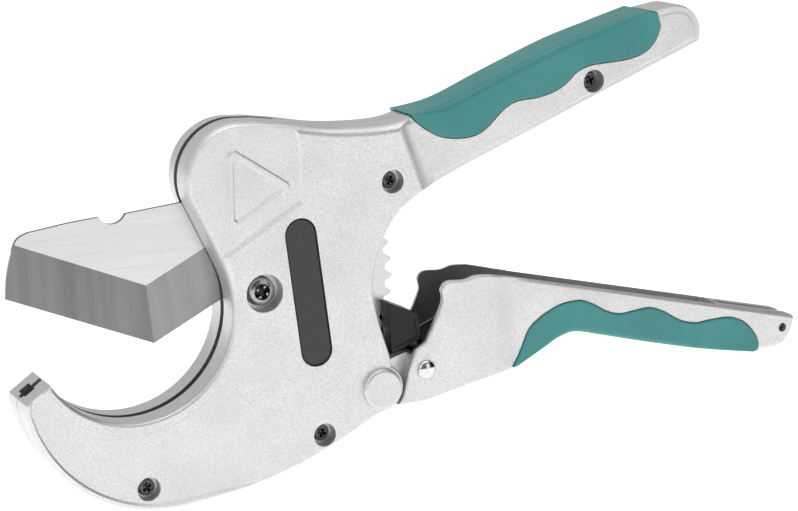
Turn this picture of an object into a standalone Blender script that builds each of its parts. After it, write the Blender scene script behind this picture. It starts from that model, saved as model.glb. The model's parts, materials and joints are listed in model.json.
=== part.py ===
"""Ratcheting cutter for plastic pipe: two cast half shells with a hooked jaw, a pivoting blade with
ratchet teeth, a squeezed lower handle that carries the pawl, and rubber grips.

Frame: +X from the jaw to the handles, +Z up, +Y towards the back. The origin lies on the blade's
pivot axis, on the outer face of the rear shell. Shapes are laid out in millimetres in the XZ plane
and given their depth as a distance from the middle plane, which lies between the two shells.
"""
import math

import bmesh
import bpy
from mathutils import Matrix, Vector

MM = 0.001

# Depths, measured from the middle plane (mm)
THICKNESS = 21.0
MID_Y = -THICKNESS / 2
FACE = THICKNESS / 2
HANDLE_FACE = 8.5
GRIP_FACE = 9.1
CORE_FACE = 6.8
PART_GAP = 0.15
BLADE_HALF = 0.85
SLOT_HALF = 1.5
TONGUE_HALF = 4.3
GAP = 0.3
FRONT, REAR = -1, 1

# Blade pivot, at the origin of the XZ plane
PIVOT = (0.0, 0.0)
BUSH_R = 4.5
BLADE_REACH = 82.8
TIP_R, ROOT_R = 49.1, 46.6
TOOTH_PITCH = 6.75
SECTOR_FROM, SECTOR_TO = -8, 7
EDGE_TIP, EDGE_KNEE, EDGE_HEEL = (-82.6, 3.6), (-34.2, -15.2), (-10.7, -2.7)

# Jaw and head
JAW_C, JAW_R = (-43.8, -5.2), 33.0
JAW_TIP_ANGLE, JAW_HEAD_ANGLE = 212.4, 26.0
HEAD_C, HEAD_R = (-7.5, 37.6), 18.5
SLOT_END_X = 7.6

# Lower handle, its pivot and its pawl
HANDLE_PIVOT = (41.0, -35.9)
BOSS_R = 8.0
BOLT_R = 4.0
PAWL_PIN = (57.3, -31.2)
PAWL_PIN_R = 2.2
PAWL_HALF = 6.9
HANDLE_TRAVEL = 36.0
PAWL_RATIO = -1.5
CHANNEL_HALF = 8.7
ARM_CHANNEL_HALF = 6.8
CORE_CHANNEL_HALF = 5.0
LATCH_PIN = (198.5, -30.8)
LATCH_PIN_R = 1.3
LATCH_HALF = 1.8
LATCH_REACH = 20.2

# Fasteners
CASE_SCREWS = [(45.1, 33.2, FACE), (120.3, 61.7, HANDLE_FACE), (20.6, -49.4, FACE), (-40.1, -60.5, FACE)]
CASE_BORE_R, CASE_HEAD_R, CASE_SHANK_R = 3.9, 2.8, 1.5
HEAD_DEPTH = 2.6
PIVOT_BORE_R, PIVOT_HEAD_R, PIVOT_SHANK_R = 6.3, 4.6, 2.5

# Badge in the front shell: a pill between two centres
BADGE = ((12.6, 18.1), (17.9, -20.5))
BADGE_R = 5.2
PANEL_DEPTH = 0.7

SEGMENTS = 32


# ---------- outlines in the XZ plane ----------

def arc(centre, radius, start, end, steps):
    """Points along a circle, angles in degrees."""
    angles = [math.radians(start + (end - start) * k / steps) for k in range(steps + 1)]
    return [(centre[0] + radius * math.cos(a), centre[1] + radius * math.sin(a)) for a in angles]


def arc_through(first, middle, last, steps):
    """Points from first to last along the circle through all three."""
    (ax, az), (bx, bz), (cx, cz) = first, middle, last
    d = 2 * (ax * (bz - cz) + bx * (cz - az) + cx * (az - bz))
    a2, b2, c2 = ax * ax + az * az, bx * bx + bz * bz, cx * cx + cz * cz
    centre = ((a2 * (bz - cz) + b2 * (cz - az) + c2 * (az - bz)) / d,
              (a2 * (cx - bx) + b2 * (ax - cx) + c2 * (bx - ax)) / d)
    angles = [math.degrees(math.atan2(z - centre[1], x - centre[0])) for x, z in (first, middle, last)]
    turn = (angles[2] - angles[0]) % 360
    if (angles[1] - angles[0]) % 360 > turn:
        turn -= 360
    radius = math.dist(centre, first)
    return arc(centre, radius, angles[0], angles[0] + turn, steps)


def smooth(points, steps):
    """Points along a smooth curve through the given ones."""
    ends = [points[0]] + list(points) + [points[-1]]
    found = []
    for a, b, c, d in zip(ends, ends[1:], ends[2:], ends[3:]):
        for k in range(steps):
            t = k / steps
            found.append(tuple(
                0.5 * (2 * q + (r - p) * t + (2 * p - 5 * q + 4 * r - s) * t * t
                       + (3 * q - p - 3 * r + s) * t ** 3)
                for p, q, r, s in zip(a, b, c, d)))
    return found + [points[-1]]


def turned_about(point, centre, degrees):
    """The point turned about a centre, counter-clockwise seen from the front."""
    c, s = math.cos(math.radians(degrees)), math.sin(math.radians(degrees))
    x, z = point[0] - centre[0], point[1] - centre[1]
    return (centre[0] + x * c - z * s, centre[1] + x * s + z * c)


def normals(outline):
    """Outward unit normals at the corners of a clockwise outline."""
    found = []
    for before, here, after in zip(outline[-1:] + outline[:-1], outline, outline[1:] + outline[:1]):
        a = Vector((here[0] - before[0], here[1] - before[1])).normalized()
        b = Vector((after[0] - here[0], after[1] - here[1])).normalized()
        side = Vector((-(a + b).y, (a + b).x)).normalized()
        found.append(side / max(side.dot(Vector((-a.y, a.x))), 0.6))
    return found


def grown(outline, distance):
    """A clockwise outline moved outwards by a distance."""
    return [(x + n.x * distance, z + n.y * distance) for (x, z), n in zip(outline, normals(outline))]


def pill(first, last, radius, steps=10):
    lean = math.degrees(math.atan2(last[1] - first[1], last[0] - first[0]))
    return arc(last, radius, lean + 90, lean - 90, steps) + arc(first, radius, lean - 90, lean - 270, steps)


# ---------- solids ----------

def depth(side, distance):
    """The Y of a plane at a distance from the middle plane, on the front or the rear side."""
    return MID_Y + side * distance


def body(name, rings, closed=False):
    """A closed solid skinned over a stack of equal rings of (x, y, z) in millimetres."""
    bm = bmesh.new()
    stack = [[bm.verts.new(Vector(p) * MM) for p in ring] for ring in rings]
    count = len(rings[0])
    pairs = list(zip(stack, stack[1:])) + ([(stack[-1], stack[0])] if closed else [])
    for low, high in pairs:
        for k in range(count):
            bm.faces.new((low[k], low[(k + 1) % count], high[(k + 1) % count], high[k]))
    if not closed:
        bm.faces.new(stack[0])
        bm.faces.new(stack[-1])
    bmesh.ops.recalc_face_normals(bm, faces=bm.faces)
    mesh = bpy.data.meshes.new(name)
    bm.to_mesh(mesh)
    bm.free()
    made = bpy.data.objects.new(name, mesh)
    bpy.context.scene.collection.objects.link(made)
    return made


def prism(name, outline, low, high):
    """An outline in the XZ plane extruded between two values of Y."""
    return body(name, [[(x, y, z) for x, z in outline] for y in (low, high)])


def slab(name, outline, half):
    """A prism centred on the middle plane."""
    return prism(name, outline, MID_Y - half, MID_Y + half)


def cylinder(name, centre, radius, low, high, segments=SEGMENTS):
    return prism(name, arc(centre, radius, 360, 360 / segments, segments - 1), low, high)


def turned(name, centre, profile, segments=SEGMENTS, closed=False):
    """A profile of (radius, y) turned about the Y direction through a centre."""
    ring = arc((0, 0), 1.0, 360, 360 / segments, segments - 1)
    rings = [[(centre[0] + r * x, y, centre[1] + r * z) for x, z in ring] for r, y in profile]
    return body(name, rings, closed)


def filleted(name, outline, widths, planes):
    """A plate with rounded rims. Planes lists (y, inward share, depth share) from one face to the other."""
    rims = normals(outline)
    rings = []
    for y, inward, back in planes:
        rings.append([(x - n.x * w * inward, y + w * back, z - n.y * w * inward)
                      for (x, z), n, w in zip(outline, rims, widths)])
    return body(name, rings)


def tapered(count, width, least=0.4, over=3):
    """Rim widths for a run of points, thinning out towards its two ends."""
    return [least + (width - least) * min(1, k / over, (count - 1 - k) / over) for k in range(count)]


def rim_planes(y, direction, steep, steps=3):
    """The rings of one rounded rim, from the flat face at y to the side wall."""
    found = []
    for k in range(steps + 1):
        a = math.radians(90 * k / steps)
        found.append((y, 1 - math.sin(a), direction * steep * (1 - math.cos(a))))
    return found


def tube(name, path, radius, sides=6):
    """A round wire along a path of (x, y, z) in millimetres."""
    points = [Vector(p) for p in path]
    side = Vector((0, 0, 1))
    rings = []
    for k, here in enumerate(points):
        ahead = (points[min(k + 1, len(points) - 1)] - points[max(k - 1, 0)]).normalized()
        side = (side - ahead * side.dot(ahead)).normalized()
        up = ahead.cross(side)
        angles = [math.tau * j / sides for j in range(sides)]
        rings.append([tuple(here + (side * math.cos(a) + up * math.sin(a)) * radius) for a in angles])
    return body(name, rings)


def combine(obj, tool, operation="DIFFERENCE"):
    """Applies a Boolean with a tool, which is used up."""
    modifier = obj.modifiers.new("combine", "BOOLEAN")
    modifier.object = tool
    modifier.operation = operation
    modifier.solver = "EXACT"
    graph = bpy.context.evaluated_depsgraph_get()
    mesh = bpy.data.meshes.new_from_object(obj.evaluated_get(graph))
    obj.modifiers.clear()
    obj.data = mesh
    bpy.data.objects.remove(tool)


def union(obj, tool):
    combine(obj, tool, "UNION")


def slanted_block(name, corners, height, far):
    """A block over four XZ corners, between the sloping surface height(x, z) and the plane y = far."""
    return body(name, [[(x, height(x, z), z) for x, z in corners], [(x, far, z) for x, z in corners]])


# ---------- finishes ----------

def material(name, colour, roughness, metallic):
    made = bpy.data.materials.new(name)
    made.use_nodes = True
    shader = made.node_tree.nodes["Principled BSDF"]
    shader.inputs["Base Color"].default_value = (*colour, 1)
    shader.inputs["Roughness"].default_value = roughness
    shader.inputs["Metallic"].default_value = metallic
    return made


def finish(obj, finish_material, pivot=PIVOT):
    """Gives a piece its finish, soft shading, and its origin on its axis."""
    obj.data.materials.clear()
    obj.data.materials.append(finish_material)
    obj.data.shade_smooth()
    obj.data.set_sharp_from_angle(angle=math.radians(32))
    origin = Vector((pivot[0], 0, pivot[1])) * MM
    obj.data.transform(Matrix.Translation(-origin))
    obj.location = origin
    return obj


# ---------- shells ----------

def shell_outline():
    """The body and upper handle seen from the front, clockwise, with the width of the rounded rim."""
    jaw = arc(JAW_C, JAW_R, JAW_TIP_ANGLE, 360 + JAW_HEAD_ANGLE, 26)
    head = arc(HEAD_C, HEAD_R, 206, 92, 12)
    top = smooth([(-1.0, 55.9), (9.0, 54.6), (23.0, 52.4), (37.0, 51.8), (47.0, 52.4), (53.9, 54.2)], 2)
    back = smooth([(68.9, 58.0), (80.8, 63.2), (92.9, 68.3), (109.2, 74.8), (125.8, 79.9), (142.5, 84.3)], 2)
    end = arc_through((150.5, 85.8), (158.6, 83.6), (161.6, 75.4), 5)
    under = [(161.0, 73.4), (124.8, 58.4), (97.0, 46.7), (72.8, 36.7), (61.8, 31.7)]
    relief = smooth([(54.5, 28.4), (46.7, 22.1), (41.0, 12.6), (38.4, 3.2), (38.2, -4.0), (40.2, -13.0),
                     (44.0, -24.6)], 3)
    boss = arc(HANDLE_PIVOT, BOSS_R, 62, -82, 10)
    bottom = arc_through((38.0, -45.6), (13.9, -57.8), (-16.4, -65.9), 6)
    outer = arc_through((-26.0, -67.5), (-63.3, -57.6), (-80.0, -30.8), 14)
    tip = [(-79.6, -28.7)]
    parts = [(jaw, 1.2), (head, 3.4), (top, 3.4), (back, 3.0), (end, 3.0), (under, 2.0), (relief, 0.7),
             (boss, 0.6), (bottom, 1.2), (outer, 1.4), (tip, 0.6)]
    outline, widths = [], []
    for points, width in parts:
        outline += points
        widths += [width] * len(points)
    for k, (x, z) in enumerate(jaw):
        rise = max(0.0, (math.atan2(z - JAW_C[1], x - JAW_C[0]) / math.radians(JAW_HEAD_ANGLE)))
        if x > JAW_C[0]:
            widths[k] += 2.2 * min(1.0, rise)
    widths[0] = 0.6
    return outline, widths


def handle_outline():
    """The thinner upper handle by itself, clockwise; it runs on into the body."""
    back = smooth([(53.9, 54.2), (68.9, 58.0), (80.8, 63.2), (92.9, 68.3), (109.2, 74.8), (125.8, 79.9),
                   (142.5, 84.3)], 2)
    end = arc_through((150.5, 85.8), (158.6, 83.6), (161.6, 75.4), 5)
    under = [(161.0, 73.4), (124.8, 58.4), (97.0, 46.7), (72.8, 36.7), (61.8, 31.7), (54.5, 28.4)]
    start = [(48.0, 32.0), (48.0, 51.0)]
    outline = back + end + under + start
    widths = [3.0] * (len(back) + len(end)) + [2.0] * len(under) + [1.0] * len(start)
    return outline, widths


def blade_pocket():
    """The room that the blade sweeps, open to the jaw, the head's left and top, and the ratchet side."""
    sweep = arc(PIVOT, TIP_R + 1.1, 81, -122, 30)
    jaw_room = [(-69.0, -49.9)] + arc(PIVOT, BLADE_REACH + 0.9, 213.5, 190, 4)
    outside = [(-100, 0), (-60, 75), (SLOT_END_X, 75)]
    return sweep + jaw_room + outside


def tongue_pocket():
    """The room that the handle's tongue sweeps, clockwise."""
    return (arc(HANDLE_PIVOT, 11.4, 128, 86, 4) + arc(HANDLE_PIVOT, 16.3, 84, 38, 6)
            + arc(HANDLE_PIVOT, 11.4, 36, -80, 8) + arc(HANDLE_PIVOT, 6.9, -80, -230, 12))


def upper_grip_outline():
    """The upper grip seen from the front, clockwise."""
    top = smooth([(52.6, 54.5), (60.0, 56.0), (68.9, 58.6), (80.8, 63.8), (92.9, 68.9), (109.2, 75.4),
                  (125.8, 80.5), (141.0, 84.6)], 2)
    lower = smooth([(145.6, 79.2), (143.6, 74.2), (139.5, 70.6), (133.5, 68.7), (125.3, 67.9), (118.6, 67.2),
                    (113.6, 65.2), (109.3, 61.4), (105.0, 59.2), (99.0, 57.6), (92.5, 57.0), (88.2, 55.6),
                    (84.4, 52.6), (80.4, 48.8), (75.8, 46.3), (69.4, 45.7), (63.1, 46.8), (57.6, 49.6),
                    (53.4, 53.0)], 2)
    return top + [(144.2, 83.6)] + lower


def upper_core_top():
    """The top of the metal under the upper grip."""
    return smooth([(48.0, 49.6), (56.0, 52.0), (68.9, 55.6), (80.8, 60.8), (92.9, 65.9), (109.2, 72.4),
                   (125.8, 77.5), (150.0, 83.2)], 2)


def shell(name, side):
    """One half shell: side FRONT or REAR."""
    outline, widths = shell_outline()
    slope = -side * 1.5
    inner = depth(side, PART_GAP)
    made = filleted(name, outline, widths,
                    rim_planes(depth(side, FACE), slope, 1.0) + [(inner, 0, 0)])
    # The upper handle is thinner than the body, and a slope runs down to it.
    lean = Vector((0.918, 0.396))
    along = Vector((-0.396, 0.918))
    rings = []
    for reach in (-160, 160):
        ring = []
        for s, distance in ((62.4, FACE + 0.2), (68.5, HANDLE_FACE - 0.2), (200, HANDLE_FACE - 0.2),
                            (200, FACE + 8), (62.4, FACE + 8)):
            point = lean * s + along * reach
            ring.append((point.x, depth(side, distance), point.y))
        rings.append(ring)
    combine(made, body("slope_cutter", rings))
    thin, thin_widths = handle_outline()
    union(made, filleted("handle", thin, thin_widths,
                         rim_planes(depth(side, HANDLE_FACE), slope, 1.0) + [(inner, 0, 0)]))
    # The grip lies in a recess round a thinner core.
    recess = slab("grip_recess", grown(upper_grip_outline(), GAP), 30)
    core = slab("core", upper_core_top() + [(150, 20), (48, 20)], CORE_FACE)
    combine(recess, core)
    combine(made, recess)
    # Rooms inside: blade, tongue and the hollow of the handle.
    far = side * 20
    combine(made, prism("blade_room", blade_pocket(), *sorted((MID_Y - far, depth(side, SLOT_HALF)))))
    combine(made, prism("tongue_room", tongue_pocket(),
                        *sorted((MID_Y - far, depth(side, TONGUE_HALF + GAP)))))
    for hollow in ([(72, 52.5), (108, 69.0), (110, 57.5), (76, 43.0)],
                   [(131, 75.5), (148, 80.5), (151, 74.8), (130, 66.0)]):
        combine(made, prism("hollow", hollow, *sorted((MID_Y - far, depth(side, 4.6)))))
    # Slot in the handle's end that the lock latch swings into when the handles are closed.
    closed_pin = turned_about(LATCH_PIN, HANDLE_PIVOT, HANDLE_TRAVEL)
    latch_room = arc(closed_pin, LATCH_REACH + 0.5, 175, 10, 14) + [(180, 50), (140, 50)]
    combine(made, prism("latch_room", latch_room, *sorted((MID_Y - far, depth(side, LATCH_HALF + 0.5)))))
    return made


def jaw_window(side):
    """The rectangular window in the jaw's end face, round the blade slot."""
    lean = math.radians(JAW_TIP_ANGLE + 4)
    out = (math.cos(lean), math.sin(lean))
    down = (-out[1], out[0])
    start = (JAW_C[0] + out[0] * (JAW_R + 3.6), JAW_C[1] + out[1] * (JAW_R + 3.6))
    corners = [(start[0] + out[0] * a - down[0] * b, start[1] + out[1] * a - down[1] * b)
               for a, b in ((0, 6), (4.1, 6), (4.1, -3.2), (0, -3.2))]
    reach = 2.9 if side == FRONT else 4.4
    return prism("window", corners, *sorted((MID_Y - side * 20, depth(side, reach))))


def front_shell(finish_material):
    made = shell("front_shell", FRONT)
    combine(made, jaw_window(FRONT))
    # A round cap over the handle's pivot stands proud of the face.
    cap = [(6.95, depth(FRONT, FACE - 1)), (6.95, depth(FRONT, FACE + 1.0)), (6.55, depth(FRONT, FACE + 1.7)),
           (5.7, depth(FRONT, FACE + 2.0))]
    union(made, turned("cap", HANDLE_PIVOT, cap))
    combine(made, cylinder("bolt_bore", HANDLE_PIVOT, BOLT_R + GAP, depth(FRONT, 8.8), 0))
    # Head panel and jaw panel lie a little below the rest of the face.
    head_panel = ([(-40, 60), (9.0, 60), (9.8, 54.6), (11.5, 50.6), (12.2, 45.8), (12.7, 29.0)]
                  + [(-16.6, 11.2), (-40, 10)])
    combine(made, prism("head_panel", head_panel, -30, depth(FRONT, FACE - PANEL_DEPTH)))
    jaw_panel = (arc(JAW_C, JAW_R + 4.2, 207, 318, 18) + [(-12.6, -28.8), (14.6, -58.2), (0, -62.5)]
                 + arc_through((-26.0, -65.3), (-62.0, -55.9), (-78.0, -31.5), 14))
    combine(made, prism("jaw_panel", jaw_panel, -30, depth(FRONT, FACE - PANEL_DEPTH)))
    combine(made, prism("badge_recess", pill(*BADGE, BADGE_R + GAP), -30, depth(FRONT, FACE - 1.6)))
    # Bores for the pivot screw, its bush and the return spring.
    combine(made, cylinder("pivot_bore", PIVOT, PIVOT_BORE_R, -30, depth(FRONT, 5.2)))
    combine(made, cylinder("bush_bore", PIVOT, BUSH_R + GAP, -30, 0))
    combine(made, cylinder("spring_room", PIVOT, 10.2, depth(FRONT, 4.0), 0))
    for x, z, face in CASE_SCREWS:
        combine(made, cylinder("screw_bore", (x, z), CASE_BORE_R, -30, depth(FRONT, face - 4.8)))
        combine(made, cylinder("screw_hole", (x, z), CASE_SHANK_R + GAP, -30, 0, 20))
    return finish(made, finish_material)


def rear_shell(finish_material):
    made = shell("rear_shell", REAR)
    combine(made, jaw_window(REAR))
    combine(made, cylinder("bush_bore", PIVOT, BUSH_R + GAP, -15, depth(REAR, 5.3)))
    combine(made, cylinder("insert_bore", PIVOT, 4.1, -15, depth(REAR, 9.2), 24))
    combine(made, cylinder("head_bore", HANDLE_PIVOT, 5.8, depth(REAR, 8.0), 5))
    combine(made, cylinder("bolt_bore", HANDLE_PIVOT, BOLT_R + GAP, -15, 5))
    combine(made, cylinder("spring_room", HANDLE_PIVOT, 6.3, -15, depth(REAR, 6.7)))
    for x, z, face in CASE_SCREWS:
        combine(made, cylinder("screw_hole", (x, z), CASE_SHANK_R + GAP, -15, depth(REAR, face - 1.6), 20))
    return finish(made, finish_material)


def upper_grip(finish_material):
    outline = upper_grip_outline()
    on_top = 16
    widths = tapered(on_top, 2.6) + [0.6] * (len(outline) - on_top)
    made = rounded_plate("upper_grip", outline, widths, GRIP_FACE)
    inner = grown(upper_core_top() + [(150, 20), (48, 20)], GAP)
    combine(made, slab("inner", inner, CORE_FACE + GAP))
    return finish(made, finish_material)


# ---------- blade ----------

def sector_points():
    """Ratchet teeth along the blade's right-hand rim, clockwise from the top."""
    found = []
    for k in range(SECTOR_TO, SECTOR_FROM - 1, -1):
        middle = k * TOOTH_PITCH
        for turn, radius in ((0.44, ROOT_R), (0.12, TIP_R - 0.3), (0.0, TIP_R), (-0.1, TIP_R - 0.2),
                             (-0.30, ROOT_R + 0.2)):
            a = math.radians(middle + turn * TOOTH_PITCH)
            found.append((radius * math.cos(a), radius * math.sin(a)))
    return found


def blade_outline():
    hub = arc(PIVOT, 11.0, -75, -166, 8)
    edge = [EDGE_KNEE, EDGE_TIP]
    end = [(-82.0, 11.3), (-79.8, 19.6), (-78.0, 22.6), (-74.8, 24.1)]
    notch = arc((-47.6, 29.6), 4.9, 209, 337, 8)
    back = [(-25.0, 29.8), (0.0, 31.0), (24.0, 36.0)]
    return hub + edge + end + [(-61.3, 26.2)] + notch + back + sector_points() + [(13.0, -17.0)]


def blade(finish_material):
    made = slab("blade", blade_outline(), BLADE_HALF)
    # The cutting edge is ground from both faces, in two straight stretches that meet at a ridge.
    thin = 0.12
    for (ax, az), (bx, bz), ground in ((EDGE_TIP, EDGE_KNEE, 17.0), (EDGE_KNEE, EDGE_HEEL, 18.2)):
        length = math.dist((ax, az), (bx, bz))
        nx, nz = -(bz - az) / length, (bx - ax) / length
        for side in (FRONT, REAR):
            def height(x, z, side=side, nx=nx, nz=nz, ax=ax, az=az, ground=ground):
                above = (x - ax) * nx + (z - az) * nz
                return depth(side, thin + (BLADE_HALF - thin) * above / ground)
            corners = [(-90, -25), (-90, 45), (-8.5, 45), (-8.5, -25)]
            combine(made, slanted_block("bevel", corners, height, depth(side, 12)))
    combine(made, slab("bush_hole", arc(PIVOT, BUSH_R + GAP, 360, 360 / SEGMENTS, SEGMENTS - 1), 5))
    combine(made, slab("spring_hole", arc((7.6, 0), 0.8, 360, 30, 11), 5))
    return finish(made, finish_material)


# ---------- lower handle ----------

def handle_top():
    return [(57.2, -21.8), (60.5, -15.2), (63.3, -8.5), (62.9, -4.4), (65.1, -2.0), (71.4, -2.0),
            (75.7, -0.9), (81.4, -1.1)]


def handle_bottom_end():
    return [(202.6, -26.6), (203.6, -27.6), (201.8, -33.4), (200.6, -36.4), (196.5, -37.8), (188.8, -38.3)]


def grip_bottom():
    """The lower edge of the lower handle, right to left."""
    return smooth([(188.8, -38.3), (164.4, -34.8), (142.8, -30.3), (124.6, -26.0), (115.2, -24.0),
                   (109.6, -25.0), (102.5, -28.4), (91.0, -34.0)], 2)


def hinge_cheek_outline():
    """The wide cheeks, clockwise, with the rim's width; the rim thins out in the corner by the boss."""
    left = arc(HANDLE_PIVOT, BOSS_R + 0.7, -46, -8, 4) + [(50.9, -31.2), (53.5, -24.1)]
    rest = handle_top() + [(96, -4.2), (96, -31.5), (91.0, -34.0), (74.0, -37.8), (57.8, -41.8)]
    return left + rest, [0.2, 0.2, 0.4] + [0.8] * (len(left) + len(rest) - 3)


def rear_arm_outline():
    return [(84.0, -1.7)] + handle_bottom_end()[:-1] + grip_bottom() + [(84.0, -35.4)]


def lower_core_bottom():
    """The bottom of the metal under the lower grip, right to left."""
    return smooth([(192.0, -35.8), (164.5, -31.9), (143.0, -27.4), (125.0, -23.1), (115.4, -21.1),
                   (110.4, -22.0), (103.6, -25.4), (86.0, -33.4)], 2)


def lower_grip_outline():
    """The lower grip seen from the front, clockwise: wavy upper edge, then the bottom."""
    wave = smooth([(90.6, -34.3), (93.3, -29.4), (96.5, -22.0), (99.9, -18.7), (103.8, -16.3), (108.9, -14.2),
                   (116.2, -13.5), (121.4, -15.4), (126.6, -18.2), (131.9, -19.7), (137.0, -19.2),
                   (143.5, -18.6), (148.9, -20.3), (155.5, -24.0), (162.0, -25.8), (168.5, -25.3),
                   (176.0, -25.1), (181.6, -27.0), (186.1, -31.1), (188.3, -35.2), (188.0, -38.0)], 2)
    under = [(x, z - 0.5) for x, z in grip_bottom()[1:-1]]
    return wave + under


def rounded_plate(name, outline, widths, half, steps=2):
    """A plate centred on the middle plane, with both rims rounded."""
    planes = (rim_planes(depth(FRONT, half), 1, 1.0, steps)
              + rim_planes(depth(REAR, half), -1, 1.0, steps)[::-1])
    return filleted(name, outline, widths, planes)


def lower_handle(finish_material):
    made = rounded_plate("lower_handle", *hinge_cheek_outline(), FACE)
    for side in (FRONT, REAR):
        slope = [(83.4, FACE + 0.2), (92.0, HANDLE_FACE - 0.2), (120, HANDLE_FACE - 0.2), (120, 20),
                 (83.4, 20)]
        combine(made, body("slope_cutter", [[(x, depth(side, d), z) for x, d in slope] for z in (-60, 20)]))
    arm = rear_arm_outline()
    union(made, rounded_plate("arm", arm, [1.4] * len(arm), HANDLE_FACE))
    # The grip lies in a recess round a thinner core.
    recess = slab("grip_recess", grown(lower_grip_outline(), GAP), 30)
    above = lower_core_bottom() + [(86, 10), (192, 10)]
    combine(recess, slab("core", above, CORE_FACE))
    combine(made, recess)
    # Channel, open at the top: wide round the pawl, narrower along the arm and between the grip's halves.
    wide = [(40, 10), (83, 10), (83, -32.2), (75, -34.6), (66, -36.4), (57.5, -37.4), (54.6, -36.4),
            (53.2, -34.0), (53.2, -26.0), (44, -26.6)]
    combine(made, slab("wide_channel", wide, CHANNEL_HALF))
    narrowing = [(82, CHANNEL_HALF), (83, CHANNEL_HALF), (90, ARM_CHANNEL_HALF)]
    outline = ([(x, depth(FRONT, half)) for x, half in narrowing]
               + [(x, depth(REAR, half)) for x, half in narrowing[::-1]])
    combine(made, body("narrowing", [[(x, y, z) for x, y in outline] for z in (-30, 10)]))
    combine(made, slab("arm_channel", [(84, 10), (172, 10), (172, -23.8), (84, -5.3)], ARM_CHANNEL_HALF))
    floor = [(x, z + 2.6) for x, z in lower_core_bottom()[2:-2]]
    narrow = [(85, 10), (178, 10), (174, -22.0)] + floor[1:] + [(85, -30.2)]
    combine(made, slab("core_channel", narrow, CORE_CHANNEL_HALF))
    # Tongue between the shells, forked where the ratchet teeth pass.
    tongue = arc(HANDLE_PIVOT, 6.4, 275, 88, 16) + [(47.5, -27.6), (53.0, -25.9), (53.0, -41.9)]
    union(made, slab("tongue", tongue, TONGUE_HALF))
    for step in range(4):
        centre = turned_about(PIVOT, HANDLE_PIVOT, -HANDLE_TRAVEL * step / 3)
        combine(made, slab("fork", arc(centre, TIP_R + 1.3, 360, 5, 71), BLADE_HALF + 0.5))
    combine(made, slab("bolt_bore", arc(HANDLE_PIVOT, BOLT_R + GAP, 360, 360 / SEGMENTS, SEGMENTS - 1), 8))
    combine(made, cylinder("pin_bore", PAWL_PIN, PAWL_PIN_R + GAP, -30, 10, 24))
    combine(made, cylinder("pin_seat", PAWL_PIN, 3.4, depth(REAR, 9.6), 10, 24))
    # Slot in the closed end for the lock latch, and the hole of its pin.
    slot = [(176.0, -27.8), (175.0, -15.0), (210, -15.0), (210, -34.6), (194.2, -34.6), (193.4, -30.4)]
    combine(made, slab("latch_slot", slot, LATCH_HALF + 0.4))
    combine(made, cylinder("latch_bore", LATCH_PIN, LATCH_PIN_R + GAP, -30, 10, 20))
    return finish(made, finish_material, HANDLE_PIVOT)


def lower_grip(finish_material):
    outline = lower_grip_outline()
    under = len(grip_bottom()) - 2
    widths = [0.6] * (len(outline) - under) + tapered(under, 2.2)
    made = rounded_plate("lower_grip", outline, widths, GRIP_FACE)
    above = grown(lower_core_bottom() + [(86, 10), (192, 10)], GAP)
    combine(made, slab("inner", above, CORE_FACE + GAP))
    return finish(made, finish_material, HANDLE_PIVOT)


def pawl(finish_material):
    """The block that grips the ratchet, on an eye that hangs in the handle's channel."""
    eye = arc(PAWL_PIN, 3.7, 20, -215, 12)
    outline = ([(44.9, -7.9), (55.7, -12.5), (57.2, -21.4), (60.9, -29.6)] + eye
               + [(55.8, -26.5), (55.3, -22.1), (46.3, -25.5)])
    made = slab("pawl", outline, PAWL_HALF)
    # A groove leaves room for the ratchet plate between the block's two jaws through the whole stroke.
    for step in range(7):
        swing = HANDLE_TRAVEL * step / 6
        centre = turned_about(PIVOT, HANDLE_PIVOT, -swing)
        centre = turned_about(centre, PAWL_PIN, -PAWL_RATIO * swing)
        combine(made, slab("groove", arc(centre, TIP_R + 0.6, 360, 5, 71), BLADE_HALF + 0.4))
    combine(made, slab("pin_bore", arc(PAWL_PIN, PAWL_PIN_R + GAP, 360, 15, 23), 12))
    return finish(made, finish_material, PAWL_PIN)


def lock_latch(finish_material):
    """A flat hook that lies in the slot at the end of the lower handle."""
    eye = arc(LATCH_PIN, 2.9, 60, -180, 12)
    hook = [(179.7, -23.6), (182.4, -24.2), (183.0, -26.2), (196.6, -28.5)]
    outline = hook + eye + [(194.9, -29.9), (190.0, -28.9), (179.4, -26.9)]
    made = slab("lock_latch", outline, LATCH_HALF)
    combine(made, slab("pin_bore", arc(LATCH_PIN, LATCH_PIN_R + GAP, 360, 18, 19), 5))
    return finish(made, finish_material, LATCH_PIN)


# ---------- pins, screws and springs ----------

def cross_recess(obj, centre, half_length, low, high):
    """A cruciform recess in a screw head."""
    for turn in (20, 110):
        c, s = math.cos(math.radians(turn)), math.sin(math.radians(turn))
        width = half_length * 0.32
        corners = [(centre[0] + a * c - b * s, centre[1] + a * s + b * c)
                   for a, b in ((-half_length, width), (half_length, width), (half_length, -width),
                                (-half_length, -width))]
        combine(obj, prism("recess", corners, low, high))


def pan_screw(name, centre, floor, head_r, head_h, shank_r, end, finish_material):
    """A pan-head screw entered from the front, its head standing on a floor at a depth."""
    top = floor + head_h
    profile = [(shank_r - 0.35, depth(REAR, end)), (shank_r, depth(REAR, end - 0.5)),
               (shank_r, depth(FRONT, floor)), (head_r, depth(FRONT, floor)),
               (head_r, depth(FRONT, floor + head_h * 0.55)),
               (head_r * 0.86, depth(FRONT, floor + head_h * 0.85)), (head_r * 0.55, depth(FRONT, top))]
    made = turned(name, centre, profile, 18)
    cross_recess(made, centre, head_r * 0.56, depth(FRONT, top) - 1, depth(FRONT, top - head_h * 0.6))
    return finish(made, finish_material, centre)


def ring(name, centre, inner, outer, low, high, finish_material):
    profile = [(inner, low), (outer, low), (outer, high), (inner, high)]
    return finish(turned(name, centre, profile, 20, closed=True), finish_material, centre)


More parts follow.
